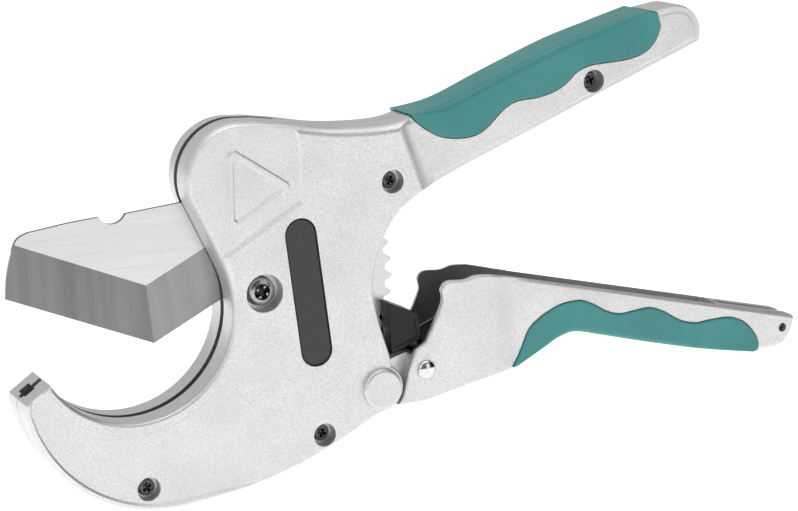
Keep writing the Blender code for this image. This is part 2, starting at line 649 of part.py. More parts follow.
def coil(centre, radius, start, turns, low, high, steps=14):
    """A helix about the Y direction, from low to high."""
    count = int(turns * steps)
    found = []
    for k in range(count + 1):
        a = math.radians(start) + math.tau * turns * k / count
        found.append((centre[0] + radius * math.cos(a), low + (high - low) * k / count,
                      centre[1] + radius * math.sin(a)))
    return found


def springs(steel):
    """Three torsion springs: blade return, handle return and pawl."""
    path = coil(PIVOT, 7.6, 0, 2.0, depth(FRONT, 2.0), depth(FRONT, 3.5))
    foot = [(7.6, depth(FRONT, 0.2), 0.0), (7.6, depth(FRONT, 1.2), 0.0)]
    finish(tube("blade_spring", foot + path[1:], 0.3), steel)
    path = coil(HANDLE_PIVOT, 5.3, 150, 1.75, depth(REAR, 4.98), depth(REAR, 6.24))
    finish(tube("handle_spring", path, 0.28), steel, HANDLE_PIVOT)
    middle = depth(REAR, (PAWL_HALF + CHANNEL_HALF) / 2)
    path = coil(PAWL_PIN, 3.3, 150, 0.86, middle, middle)
    start, end = [(51.4, middle, -18.0)], [(61.2, middle, -21.6), (69.6, middle, -17.8)]
    finish(tube("pawl_spring", start + path + end, 0.22), steel, PAWL_PIN)


def handle_bolt(finish_material):
    profile = [(BOLT_R - 0.5, depth(FRONT, 8.4)), (BOLT_R, depth(FRONT, 7.9)), (BOLT_R, depth(REAR, 8.15)),
               (5.5, depth(REAR, 8.15)), (5.5, depth(REAR, 9.9)), (5.2, depth(REAR, 10.2))]
    made = turned("handle_bolt", HANDLE_PIVOT, profile, 24)
    combine(made, cylinder("socket", HANDLE_PIVOT, 2.6, depth(REAR, 8.6), 5, 6))
    return finish(made, finish_material, HANDLE_PIVOT)


def pawl_rivet(finish_material):
    """The domed rivet that carries the pawl; its rear end is peened flush in the cheek."""
    dome = [(3.3, depth(FRONT, FACE + 0.1)), (3.2, depth(FRONT, FACE + 0.7)), (2.7, depth(FRONT, FACE + 1.2)),
            (1.7, depth(FRONT, FACE + 1.55)), (0.6, depth(FRONT, FACE + 1.65))]
    profile = dome[::-1] + [(PAWL_PIN_R, depth(FRONT, FACE + 0.1)), (PAWL_PIN_R, depth(REAR, 9.7)),
                            (3.0, depth(REAR, 9.7)), (3.0, depth(REAR, 10.2))]
    return finish(turned("pawl_rivet", PAWL_PIN, profile, 24), finish_material, PAWL_PIN)


def build():
    for old in list(bpy.data.objects):
        bpy.data.objects.remove(old, do_unlink=True)
    cast = material("cast_aluminium", (0.72, 0.72, 0.71), 0.42, 0.85)
    steel = material("brushed_steel", (0.70, 0.70, 0.70), 0.30, 1.0)
    chrome = material("bright_steel", (0.78, 0.78, 0.78), 0.12, 1.0)
    dark = material("black_oxide_steel", (0.10, 0.10, 0.10), 0.35, 0.8)
    black = material("black_pawl", (0.02, 0.02, 0.02), 0.22, 0.3)
    rubber = material("teal_rubber", (0.055, 0.23, 0.22), 0.55, 0.0)
    badge = material("dark_badge", (0.065, 0.065, 0.065), 0.5, 0.0)
    brass = material("brass", (0.70, 0.52, 0.25), 0.35, 1.0)

    front_shell(cast)
    rear_shell(cast)
    upper_grip(rubber)
    badge_faces = (depth(FRONT, FACE - 0.3), depth(FRONT, FACE - 1.5))
    finish(prism("badge_plate", pill(*BADGE, BADGE_R), *badge_faces), badge)

    blade(steel)
    ring("pivot_bush", PIVOT, 2.8, BUSH_R, depth(FRONT, 4.9), depth(REAR, 5.1), brass)
    ring("threaded_insert", PIVOT, 2.8, 3.8, depth(REAR, 5.4), depth(REAR, 9.0), brass)
    ring("spring_washer", PIVOT, 2.8, 4.4, depth(FRONT, 5.3), depth(FRONT, 6.1), steel)
    pan_screw("pivot_screw", PIVOT, 6.2, PIVOT_HEAD_R, 2.3, PIVOT_SHANK_R, 8.8, chrome)
    for number, (x, z, face) in enumerate(CASE_SCREWS, 1):
        floor = face - 4.7
        pan_screw(f"case_screw_{number}", (x, z), floor, CASE_HEAD_R, 4.7 - HEAD_DEPTH, CASE_SHANK_R,
                  face - 2.0, dark)

    lower_handle(cast)
    lower_grip(rubber)
    handle_bolt(steel)
    pawl(black)
    pawl_rivet(chrome)
    lock_latch(steel)
    finish(cylinder("latch_pin", LATCH_PIN, LATCH_PIN_R, depth(FRONT, 6.4), depth(REAR, 6.4), 16), dark,
           LATCH_PIN)
    springs(steel)


build()
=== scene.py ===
"""Looks of the ratcheting cutter for plastic pipe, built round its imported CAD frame.

Fine versions of the cast shells, handle, grips, blade, pawl and screws replace the plain CAD nodes, with
the same outlines and depths. Shapes are laid out in millimetres in the XZ plane, as seen from the front,
and get their depth as a distance from the middle plane between the shells.
"""
import json
import math

import bmesh
import bpy
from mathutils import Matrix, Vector


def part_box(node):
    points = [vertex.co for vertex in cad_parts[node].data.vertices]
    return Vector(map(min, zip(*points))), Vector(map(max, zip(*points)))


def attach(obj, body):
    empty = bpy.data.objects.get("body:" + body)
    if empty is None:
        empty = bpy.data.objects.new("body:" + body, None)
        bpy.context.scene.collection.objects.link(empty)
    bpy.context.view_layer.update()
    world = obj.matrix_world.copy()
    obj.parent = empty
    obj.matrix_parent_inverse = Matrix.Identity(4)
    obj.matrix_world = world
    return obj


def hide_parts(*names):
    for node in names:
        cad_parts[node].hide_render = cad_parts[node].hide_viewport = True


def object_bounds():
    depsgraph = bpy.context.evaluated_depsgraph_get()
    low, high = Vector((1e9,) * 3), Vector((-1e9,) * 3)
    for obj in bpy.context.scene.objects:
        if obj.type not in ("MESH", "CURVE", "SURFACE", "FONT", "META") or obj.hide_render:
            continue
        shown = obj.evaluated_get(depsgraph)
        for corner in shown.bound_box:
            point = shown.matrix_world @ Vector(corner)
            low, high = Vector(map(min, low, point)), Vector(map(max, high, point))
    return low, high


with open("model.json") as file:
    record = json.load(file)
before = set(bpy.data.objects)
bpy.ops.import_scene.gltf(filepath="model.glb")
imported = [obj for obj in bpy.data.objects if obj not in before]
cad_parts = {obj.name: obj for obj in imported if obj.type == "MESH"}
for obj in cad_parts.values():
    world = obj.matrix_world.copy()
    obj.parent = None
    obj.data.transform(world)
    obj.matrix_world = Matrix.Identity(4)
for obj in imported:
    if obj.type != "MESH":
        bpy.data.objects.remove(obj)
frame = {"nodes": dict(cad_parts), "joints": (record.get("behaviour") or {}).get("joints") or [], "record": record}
cad_low, cad_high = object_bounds()

MM = 0.001
FRONT, REAR = -1, 1
IN_FRONT = -30  # Y of a plane well in front of the tool, where cutters start (mm)

# Places read from the frame (mm)
JOINTS = {joint["name"]: joint for joint in frame["joints"]}


def axis_of(joint):
    x, _, z = JOINTS[joint]["pos_m"]
    return (x / MM, z / MM)


def centre_of(node):
    low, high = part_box(node)
    return ((low.x + high.x) / 2 / MM, (low.z + high.z) / 2 / MM)


PIVOT = axis_of("blade_swing")
HANDLE_PIVOT = axis_of("handle_squeeze")
PAWL_PIN = axis_of("pawl_swing")
LATCH_PIN = axis_of("latch_swing")
MID_Y = JOINTS["blade_swing"]["pos_m"][1] / MM
FACE = -MID_Y
BLADE_HALF = (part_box("blade")[1].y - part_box("blade")[0].y) / 2 / MM
HANDLE_TRAVEL = JOINTS["handle_squeeze"]["range_deg"][1]
PAWL_TRAVEL = -JOINTS["pawl_swing"]["range_deg"][0]

# Depths from the middle plane, and radii (mm)
HANDLE_FACE = 8.5
GRIP_FACE = 9.1
CORE_FACE = 6.8
PART_GAP = 0.15
SLOT_HALF = 1.5
TONGUE_HALF = 4.3
GAP = 0.3
BUSH_R = 4.5
BLADE_REACH = 82.8
EDGE_HALF = 0.12
TIP_R, ROOT_R = 49.1, 46.6
TOOTH_PITCH = 6.75
SECTOR_FROM, SECTOR_TO = -8, 7
EDGE_TIP, EDGE_KNEE, EDGE_HEEL = (-82.6, 3.6), (-34.2, -15.2), (-10.7, -2.7)
JAW_C, JAW_R = (-43.8, -5.2), 33.0
JAW_TIP_ANGLE, JAW_HEAD_ANGLE = 212.4, 26.0
HEAD_C, HEAD_R = (-7.5, 37.6), 18.5
SLOT_END_X = 7.6
BOSS_R = 8.0
BOLT_R = 4.0
PAWL_PIN_R = 2.2
PAWL_HALF = 6.9
CHANNEL_HALF = 8.7
ARM_CHANNEL_HALF = 6.8
CORE_CHANNEL_HALF = 5.0
LATCH_PIN_R = 1.3
LATCH_HALF = 1.8
LATCH_REACH = 20.2
CASE_SCREWS = [(*centre_of(f"case_screw_{n}"), HANDLE_FACE if n == 2 else FACE) for n in (1, 2, 3, 4)]
CASE_BORE_R, CASE_HEAD_R, CASE_SHANK_R = 3.9, 2.8, 1.5
HEAD_DEPTH = 2.6
PIVOT_BORE_R, PIVOT_HEAD_R, PIVOT_SHANK_R = 6.3, 4.6, 2.5
BADGE = ((12.6, 18.1), (17.9, -20.5))
BADGE_R = 5.2
PANEL_DEPTH = 0.7
SEGMENTS = 64
RIM_STEPS = 7

# Outlines that several pieces share (mm, in the XZ plane)
HANDLE_BACK = [(68.9, 58.0), (80.8, 63.2), (92.9, 68.3), (109.2, 74.8), (125.8, 79.9), (142.5, 84.3)]
HANDLE_END = ((150.5, 85.8), (158.6, 83.6), (161.6, 75.4))
HANDLE_UNDER = [(161.0, 73.4), (124.8, 58.4), (97.0, 46.7), (72.8, 36.7), (61.8, 31.7)]

# The viewpoint: to the left of the front and a little above, about 0.8 m away
CAMERA_AZIMUTH, CAMERA_ELEVATION = 24.6, 11.5
CAMERA_PLACE = (-0.28625, -0.74947, 0.17144)
LENS_MM, SENSOR_MM = 112.51128, 36


# ---------- outlines in the XZ plane ----------

def arc(centre, radius, start, end, steps):
    """Points along a circle, angles in degrees."""
    angles = [math.radians(start + (end - start) * k / steps) for k in range(steps + 1)]
    return [(centre[0] + radius * math.cos(a), centre[1] + radius * math.sin(a)) for a in angles]


def circle(centre, radius, segments=SEGMENTS):
    return arc(centre, radius, 360, 360 / segments, segments - 1)


def arc_through(first, middle, last, steps):
    """Points from first to last along the circle through all three."""
    (ax, az), (bx, bz), (cx, cz) = first, middle, last
    d = 2 * (ax * (bz - cz) + bx * (cz - az) + cx * (az - bz))
    a2, b2, c2 = ax * ax + az * az, bx * bx + bz * bz, cx * cx + cz * cz
    centre = ((a2 * (bz - cz) + b2 * (cz - az) + c2 * (az - bz)) / d,
              (a2 * (cx - bx) + b2 * (ax - cx) + c2 * (bx - ax)) / d)
    angles = [math.degrees(math.atan2(z - centre[1], x - centre[0])) for x, z in (first, middle, last)]
    turn = (angles[2] - angles[0]) % 360
    if (angles[1] - angles[0]) % 360 > turn:
        turn -= 360
    return arc(centre, math.dist(centre, first), angles[0], angles[0] + turn, steps)


def smooth(points, steps=6):
    """Points along a smooth curve through the given ones."""
    ends = [points[0]] + list(points) + [points[-1]]
    found = []
    for a, b, c, d in zip(ends, ends[1:], ends[2:], ends[3:]):
        for k in range(steps):
            t = k / steps
            found.append(tuple(
                0.5 * (2 * q + (r - p) * t + (2 * p - 5 * q + 4 * r - s) * t * t
                       + (3 * q - p - 3 * r + s) * t ** 3)
                for p, q, r, s in zip(a, b, c, d)))
    return found + [points[-1]]


def turned_about(point, centre, degrees):
    c, s = math.cos(math.radians(degrees)), math.sin(math.radians(degrees))
    x, z = point[0] - centre[0], point[1] - centre[1]
    return (centre[0] + x * c - z * s, centre[1] + x * s + z * c)


def normals(outline):
    """Outward unit normals at the corners of a clockwise outline."""
    found = []
    for before, here, after in zip(outline[-1:] + outline[:-1], outline, outline[1:] + outline[:1]):
        a = Vector((here[0] - before[0], here[1] - before[1])).normalized()
        b = Vector((after[0] - here[0], after[1] - here[1])).normalized()
        side = Vector((-(a + b).y, (a + b).x)).normalized()
        found.append(side / max(side.dot(Vector((-a.y, a.x))), 0.6))
    return found


def grown(outline, distance):
    """A clockwise outline moved outwards by a distance."""
    return [(x + n.x * distance, z + n.y * distance) for (x, z), n in zip(outline, normals(outline))]


def pill(first, last, radius, steps=24):
    """A long rounded outline from one end's centre to the other's, clockwise."""
    lean = math.degrees(math.atan2(last[1] - first[1], last[0] - first[0]))
    return arc(last, radius, lean + 90, lean - 90, steps) + arc(first, radius, lean - 90, lean - 270, steps)


def rounded(corners, radius, steps=8):
    """A clockwise polygon with its corners rounded."""
    found = []
    for before, here, after in zip(corners[-1:] + corners[:-1], corners, corners[1:] + corners[:1]):
        a = (Vector(before) - Vector(here)).normalized()
        b = (Vector(after) - Vector(here)).normalized()
        half = a.angle(b) / 2
        centre = Vector(here) + (a + b).normalized() * (radius / math.sin(half))
        start = Vector(here) + a * (radius / math.tan(half))
        end = Vector(here) + b * (radius / math.tan(half))
        middle = centre + (Vector(here) - centre).normalized() * radius
        found += arc_through(tuple(start), tuple(middle), tuple(end), steps)
    return found


# ---------- solids ----------

def depth(side, distance):
    """The Y of a plane at a distance from the middle plane, in front of it or behind."""
    return MID_Y + side * distance


def body(name, rings):
    """A closed solid skinned over a stack of equal rings of (x, y, z) in millimetres."""
    bm = bmesh.new()
    stack = [[bm.verts.new(Vector(p) * MM) for p in ring] for ring in rings]
    count = len(rings[0])
    for low, high in zip(stack, stack[1:]):
        for k in range(count):
            bm.faces.new((low[k], low[(k + 1) % count], high[(k + 1) % count], high[k]))
    bm.faces.new(stack[0])
    bm.faces.new(stack[-1])
    bmesh.ops.recalc_face_normals(bm, faces=bm.faces)
    mesh = bpy.data.meshes.new(name)
    bm.to_mesh(mesh)
    bm.free()
    made = bpy.data.objects.new(name, mesh)
    bpy.context.scene.collection.objects.link(made)
    return made


def stacked(name, levels):
    """A solid over outlines of equal count, each at its own Y."""
    return body(name, [[(x, y, z) for x, z in outline] for outline, y in levels])


def prism(name, outline, low, high):
    return stacked(name, [(outline, low), (outline, high)])


def slab(name, outline, half):
    """A prism centred on the middle plane."""
    return prism(name, outline, MID_Y - half, MID_Y + half)


def cylinder(name, centre, radius, low, high, segments=SEGMENTS):
    return prism(name, circle(centre, radius, segments), low, high)


def turned(name, centre, profile, segments=SEGMENTS):
    """A profile of (radius, y) turned about the Y direction through a centre."""
    ring = circle((0, 0), 1.0, segments)
    rings = [[(centre[0] + r * x, y, centre[1] + r * z) for x, z in ring] for r, y in profile]
    return body(name, rings)


def filleted(name, outline, widths, planes):
    """A plate with rounded rims. Planes lists (y, inward share, depth share) from one face to the other."""
    rims = normals(outline)
    rings = [[(x - n.x * w * inward, y + w * back, z - n.y * w * inward)
              for (x, z), n, w in zip(outline, rims, widths)] for y, inward, back in planes]
    return body(name, rings)


def tapered(count, width, least=0.08, over=8):
    """Rim widths for a run of points, thinning out towards its two ends."""
    return [least + (width - least) * min(1, k / over, (count - 1 - k) / over) for k in range(count)]


def rim_planes(y, direction, steps=RIM_STEPS):
    """The rings of one rounded rim, from the flat face at y to the side wall."""
    angles = [math.radians(90 * k / steps) for k in range(steps + 1)]
    return [(y, 1 - math.sin(a), direction * (1 - math.cos(a))) for a in angles]


def rounded_plate(name, outline, widths, half, steps=RIM_STEPS):
    """A plate centred on the middle plane, with both rims rounded."""
    planes = rim_planes(depth(FRONT, half), 1, steps) + rim_planes(depth(REAR, half), -1, steps)[::-1]
    return filleted(name, outline, widths, planes)


def combine(obj, tool, operation="DIFFERENCE"):
    """Applies a Boolean with a tool, which is used up."""
    modifier = obj.modifiers.new("combine", "BOOLEAN")
    modifier.object = tool
    modifier.operation = operation
    modifier.solver = "EXACT"
    graph = bpy.context.evaluated_depsgraph_get()
    mesh = bpy.data.meshes.new_from_object(obj.evaluated_get(graph))
    obj.modifiers.clear()
    obj.data = mesh
    bpy.data.objects.remove(tool)


def union(obj, tool):
    combine(obj, tool, "UNION")


def sunk(obj, outline, deep, slope):
    """Sinks a clockwise outline into the front face, with sloping walls."""
    wide = grown(outline, slope)
    combine(obj, stacked("sunk_panel", [(wide, IN_FRONT), (wide, depth(FRONT, FACE)),
                                        (outline, depth(FRONT, FACE - deep))]))


def pick_faces(obj, chosen, index=1):
    """Gives the faces that a test of (centre, normal) in millimetres picks another of the materials."""
    for face in obj.data.polygons:
        if chosen(face.center / MM, face.normal):
            face.material_index = index


# ---------- materials ----------

RANGE_SOCKETS = ("From Min", "From Max", "To Min", "To Max")


class Surface:
    """A Principled material and its node tree, with short ways to add and link nodes."""

    def __init__(self, name, colour, roughness, metallic):
        self.material = bpy.data.materials.new(name)
        self.material.use_nodes = True
        self.tree = self.material.node_tree
        self.shader = self.tree.nodes["Principled BSDF"]
        self.set("Base Color", (*colour, 1))
        self.set("Roughness", roughness)
        self.set("Metallic", metallic)
        self.place = self.add("ShaderNodeTexCoord").outputs["Object"]

    def add(self, kind, **values):
        node = self.tree.nodes.new(kind)
        for name, value in values.items():
            setattr(node, name, value)
        return node

    def set(self, socket, value):
        self.shader.inputs[socket].default_value = value

    def link(self, out, into):
        self.tree.links.new(out, into)

    def noise(self, scale, detail=3.0, roughness=0.55, stretch=None, lean=0.0):
        """Noise over the object's place; stretch multiplies the place after it is leant about Y."""
        node = self.add("ShaderNodeTexNoise")
        node.inputs["Scale"].default_value = scale
        node.inputs["Detail"].default_value = detail
        node.inputs["Roughness"].default_value = roughness
        place = self.place
        if stretch:
            turn = self.add("ShaderNodeVectorRotate", rotation_type="Y_AXIS")
            turn.inputs["Angle"].default_value = math.radians(lean)
            self.link(place, turn.inputs["Vector"])
            scaled = self.add("ShaderNodeVectorMath", operation="MULTIPLY")
            scaled.inputs[1].default_value = stretch
            self.link(turn.outputs["Vector"], scaled.inputs[0])
            place = scaled.outputs["Vector"]
        self.link(place, node.inputs["Vector"])
        return node.outputs["Fac"]

    def spread(self, source, low, high, to_low, to_high):
        """Maps a value from one range to another."""
        node = self.add("ShaderNodeMapRange")
        for socket, value in zip(RANGE_SOCKETS, (low, high, to_low, to_high)):
            node.inputs[socket].default_value = value
        self.link(source, node.inputs["Value"])
        return node.outputs["Result"]

    def times(self, first, second, operation="MULTIPLY"):
        """The product, or another sum, of two values, each a number or an output."""
        node = self.add("ShaderNodeMath", operation=operation)
        for socket, value in zip(node.inputs, (first, second)):
            if isinstance(value, (int, float)):
                socket.default_value = value
            else:
                self.link(value, socket)
        return node.outputs["Value"]

    def blend(self, share, first, second):
        """A colour between two, each a colour or an output."""
        node = self.add("ShaderNodeMix", data_type="RGBA")
        self.link(share, node.inputs["Factor"])
        for socket, value in ((node.inputs["A"], first), (node.inputs["B"], second)):
            if isinstance(value, tuple):
                socket.default_value = (*value, 1)
            else:
                self.link(value, socket)
        return node.outputs["Result"]

    def paint(self, colour):
        self.link(colour, self.shader.inputs["Base Color"])

    def roughen(self, value):
        self.link(value, self.shader.inputs["Roughness"])

    def edges(self, radius):
        """(softened normal, share that is 1 on an edge): rounds edges by a radius in millimetres."""
        soft = self.add("ShaderNodeBevel", samples=6)
        soft.inputs["Radius"].default_value = radius * MM
        place = self.add("ShaderNodeNewGeometry")
        dot = self.add("ShaderNodeVectorMath", operation="DOT_PRODUCT")
        self.link(soft.outputs["Normal"], dot.inputs[0])
        self.link(place.outputs["Normal"], dot.inputs[1])
        return soft.outputs["Normal"], self.spread(dot.outputs["Value"], 0.99, 0.86, 0.0, 1.0)

    def bump(self, layers, normal):
        """Bumps from (height output, distance in mm, strength), one on the other, over a normal."""
        for height, distance, strength in layers:
            node = self.add("ShaderNodeBump")
            node.inputs["Distance"].default_value = distance * MM
            node.inputs["Strength"].default_value = strength
            self.link(height, node.inputs["Height"])
            self.link(normal, node.inputs["Normal"])
            normal = node.outputs["Normal"]
        self.link(normal, self.shader.inputs["Normal"])
        return self


def cast_aluminium():
    """Satin die-cast and bead-blasted aluminium: fine speckle, soft clouds, and a painted highlight along the
    edges.
    """
    made = Surface("cast_aluminium", (0.70, 0.70, 0.695), 0.42, 0.82)
    speckle = made.noise(2600, 2.0, 0.6)
    clouds = made.noise(55, 4.0, 0.6)
    grain = made.spread(speckle, 0.35, 0.66, 0.0, 1.0)
    base = made.blend(grain, (0.55, 0.55, 0.547), (0.77, 0.77, 0.767))
    base = made.blend(made.spread(clouds, 0.35, 0.7, 0.0, 0.35), base, (0.65, 0.65, 0.65))
    soft, edge = made.edges(0.35)
    made.paint(made.blend(made.times(edge, 0.6), base, (0.93, 0.93, 0.92)))
    rough = made.times(made.spread(clouds, 0.3, 0.7, 0.36, 0.50), made.times(edge, -0.10), "ADD")
    made.roughen(rough)
    return made.bump([(clouds, 0.10, 0.25), (speckle, 0.05, 0.45)], soft).material


def cast_in_painted_shade():
    """Dull grey aluminium inside slots and channels, painted shade: darker near the pawl and the blade, lighter
    towards +X.
    """
    made = Surface("cast_in_painted_shade", (0.13, 0.13, 0.13), 0.6, 0.5)
    grain = made.noise(900, 3.0, 0.6)
    clouds = made.noise(60, 3.0, 0.6)
    both = made.times(made.times(grain, 0.4), made.times(clouds, 0.6), "ADD")
    base = made.blend(made.spread(both, 0.35, 0.65, 0.0, 1.0), (0.13, 0.13, 0.133), (0.20, 0.20, 0.203))
    apart = made.add("ShaderNodeSeparateXYZ")
    made.link(made.place, apart.inputs[0])
    # The painted shade lifts towards +X.
    less_painted_shade = made.spread(apart.outputs["X"], 0.070, 0.125, 0.0, 1.0)
    made.paint(made.blend(less_painted_shade, base, (0.42, 0.42, 0.42)))
    made.roughen(made.spread(grain, 0.3, 0.7, 0.52, 0.68))
    soft, _ = made.edges(0.25)
    return made.bump([(grain, 0.05, 0.4)], soft).material


def blade_steel(name, shade, lean, streak):
    """Ground blade steel with fine grinding marks that run at an angle in the XZ plane."""
    made = Surface(name, (shade,) * 3, 0.32, 1.0)
    fine = made.noise(1.0, 3.0, 0.6, stretch=(2600, 400, 60), lean=lean)
    broad = made.noise(1.0, 3.0, 0.55, stretch=(260, 60, 9), lean=lean)
    both = made.times(made.times(fine, 0.45), made.times(broad, 0.55), "ADD")
    tone = made.spread(both, 0.35, 0.65, 0.0, 1.0)
    made.paint(made.blend(tone, (shade * (1 - streak),) * 3, (min(1, shade * (1 + streak)),) * 3))
    made.roughen(made.spread(fine, 0.3, 0.7, 0.26, 0.44))
    soft, _ = made.edges(0.12)
    return made.bump([(fine, 0.02, 0.2)], soft).material


def plain_steel(name, colour, roughness, grain=900):
    """Turned or drawn steel with faint marks, and a painted highlight along its edges."""
    made = Surface(name, colour, roughness, 1.0)
    marks = made.noise(grain, 3.0, 0.6)
    made.roughen(made.spread(marks, 0.3, 0.7, roughness * 0.8, roughness * 1.4))
    darker = tuple(c * 0.82 for c in colour)
    soft, edge = made.edges(0.12)
    base = made.blend(made.spread(marks, 0.35, 0.65, 0.0, 1.0), darker, colour)
    made.paint(made.blend(made.times(edge, 0.35), base, tuple(min(1.0, c * 1.5 + 0.08) for c in colour)))
    return made.bump([(marks, 0.01, 0.3)], soft).material


def black_oxide():
    """Blackened steel of the case screws, with a painted highlight along its edges."""
    made = Surface("black_oxide_steel", (0.16, 0.16, 0.16), 0.34, 0.9)
    marks = made.noise(1500, 3.0, 0.6)
    soft, edge = made.edges(0.14)
    base = made.blend(made.spread(marks, 0.35, 0.7, 0.0, 1.0), (0.10, 0.10, 0.10), (0.24, 0.24, 0.24))
    made.paint(made.blend(made.times(edge, 0.7), base, (0.55, 0.55, 0.55)))
    made.roughen(made.spread(marks, 0.3, 0.7, 0.26, 0.42))
    return made.bump([(marks, 0.02, 0.4)], soft).material


def gloss_black():
    """Black-coated pawl with a faint painted highlight on its corners."""
    made = Surface("black_pawl", (0.012, 0.012, 0.013), 0.28, 0.0)
    made.set("Specular IOR Level", 0.3)
    marks = made.noise(420, 4.0, 0.6)
    soft, edge = made.edges(0.18)
    base = made.blend(made.spread(marks, 0.4, 0.7, 0.0, 1.0), (0.004, 0.004, 0.005), (0.011, 0.011, 0.012))
    made.paint(made.blend(made.times(edge, 0.5), base, (0.12, 0.12, 0.12)))
    made.roughen(made.spread(marks, 0.3, 0.7, 0.24, 0.40))
    return made.bump([(marks, 0.02, 0.35)], soft).material


def teal_rubber():
    """Soft-touch rubber: matt moulded grain, slight clouding and a painted highlight on its edges."""
    made = Surface("teal_rubber", (0.06, 0.27, 0.245), 0.55, 0.0)
    made.set("Specular IOR Level", 0.5)
    grain = made.noise(1900, 2.0, 0.55)
    clouds = made.noise(38, 3.0, 0.55)
    base = made.blend(made.spread(clouds, 0.35, 0.65, 0.0, 1.0), (0.034, 0.225, 0.220),
                      (0.044, 0.262, 0.255))
    soft, edge = made.edges(0.3)
    made.paint(made.blend(made.times(edge, 0.25), base, (0.10, 0.34, 0.33)))
    made.roughen(made.spread(grain, 0.3, 0.7, 0.34, 0.48))
    return made.bump([(clouds, 0.15, 0.15), (grain, 0.03, 0.4)], soft).material


def dark_plastic():
    """The matt dark plate in the front shell, with painted shade darkening its edges."""
    made = Surface("dark_badge", (0.055, 0.055, 0.055), 0.48, 0.0)
    grain = made.noise(2200, 2.0, 0.5)
    soft, edge = made.edges(0.3)
    base = made.blend(made.spread(grain, 0.35, 0.65, 0.0, 1.0), (0.024, 0.024, 0.024),
                      (0.036, 0.036, 0.036))
    made.paint(made.blend(made.times(edge, 0.6), base, (0.012, 0.012, 0.012)))
    made.roughen(made.spread(grain, 0.3, 0.7, 0.40, 0.56))
    return made.bump([(grain, 0.02, 0.35)], soft).material


# ---------- pieces ----------

def finish(obj, surfaces, carrier, replaced, angle=30):
    """Shades a piece, gives it its materials and lets it stand for its CAD node."""
    surfaces = surfaces if isinstance(surfaces, list) else [surfaces]
    indices = [face.material_index for face in obj.data.polygons]
    obj.data.materials.clear()
    for surface in surfaces:
        obj.data.materials.append(surface)
    for face, index in zip(obj.data.polygons, indices):
        face.material_index = index if len(surfaces) > 1 else 0
    obj.data.shade_smooth()
    obj.data.set_sharp_from_angle(angle=math.radians(angle))
    flat = obj.modifiers.new("weighted", "WEIGHTED_NORMAL")
    flat.keep_sharp = True
    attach(obj, carrier)
    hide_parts(replaced)
    return obj


def shell_outline():
    """The body and upper handle seen from the front, clockwise, with the width of the rounded rim."""
    jaw = arc(JAW_C, JAW_R, JAW_TIP_ANGLE, 360 + JAW_HEAD_ANGLE, 96)
    head = arc(HEAD_C, HEAD_R, 206, 92, 40)
    top = smooth([(-1.0, 55.9), (9.0, 54.6), (23.0, 52.4), (37.0, 51.8), (47.0, 52.4), (53.9, 54.2)])
    back = smooth(HANDLE_BACK)
    end = arc_through(*HANDLE_END, 14)
    relief = smooth([(54.5, 28.4), (46.7, 22.1), (41.0, 12.6), (38.4, 3.2), (38.2, -4.0), (40.2, -13.0),
                     (44.0, -24.6)], 7)
    boss = arc(HANDLE_PIVOT, BOSS_R, 62, -82, 28)
    bottom = arc_through((38.0, -45.6), (13.9, -57.8), (-16.4, -65.9), 16)
    outer = arc_through((-26.0, -67.5), (-63.3, -57.6), (-80.0, -30.8), 44)
    tip = [(-79.6, -28.7)]
    parts = [(jaw, 1.2), (head, 3.4), (top, 3.4), (back, 3.0), (end, 3.0), (HANDLE_UNDER, 2.0),
             (relief, 0.7), (boss, 0.6), (bottom, 1.2), (outer, 1.4), (tip, 0.6)]
    outline, widths = [], []
    for points, width in parts:
        outline += points
        widths += [width] * len(points)
    # The rim of the jaw widens on its way up to the head.
    for k, (x, z) in enumerate(jaw):
        rise = max(0.0, math.atan2(z - JAW_C[1], x - JAW_C[0]) / math.radians(JAW_HEAD_ANGLE))
        if x > JAW_C[0]:
            widths[k] += 2.2 * min(1.0, rise)
    widths[0] = 0.6
    return outline, widths


def handle_outline():
    """The thinner upper handle alone, reaching into the body, with the width of its rim."""
    back = smooth([(53.9, 54.2)] + HANDLE_BACK)
    end = arc_through(*HANDLE_END, 14)
    under = HANDLE_UNDER + [(54.5, 28.4)]
    start = [(48.0, 32.0), (48.0, 51.0)]
    widths = [3.0] * (len(back) + len(end)) + [2.0] * len(under) + [1.0] * len(start)
    return back + end + under + start, widths


def blade_pocket():
    """The room that the blade sweeps, open to the left and above."""
    sweep = arc(PIVOT, TIP_R + 1.1, 81, -122, 60)
    jaw_room = [(-69.0, -49.9)] + arc(PIVOT, BLADE_REACH + 0.9, 213.5, 190, 8)
    return sweep + jaw_room + [(-100, 0), (-60, 75), (SLOT_END_X, 75)]


def upper_grip_outline():
    """The upper grip seen from the front, clockwise, and how many of its points lie along the top."""
    top = smooth([(52.6, 54.5), (60.0, 56.0), (68.9, 58.6), (80.8, 63.8), (92.9, 68.9), (109.2, 75.4),
                  (125.8, 80.5), (141.0, 84.6)])
    lower = smooth([(145.6, 79.2), (143.6, 74.2), (139.5, 70.6), (133.5, 68.7), (125.3, 67.9),
                    (118.6, 67.2), (113.6, 65.2), (109.3, 61.4), (105.0, 59.2), (99.0, 57.6), (92.5, 57.0),
                    (88.2, 55.6), (84.4, 52.6), (80.4, 48.8), (75.8, 46.3), (69.4, 45.7), (63.1, 46.8),
                    (57.6, 49.6), (53.4, 53.0)])
    return top + [(144.2, 83.6)] + lower, len(top)


def upper_core():
    """The thinner metal that the upper grip is wrapped round, open below."""
    top = smooth([(48.0, 49.6), (56.0, 52.0), (68.9, 55.6), (80.8, 60.8), (92.9, 65.9), (109.2, 72.4),
                  (125.8, 77.5), (150.0, 83.2)])
    return top + [(150, 20), (48, 20)]


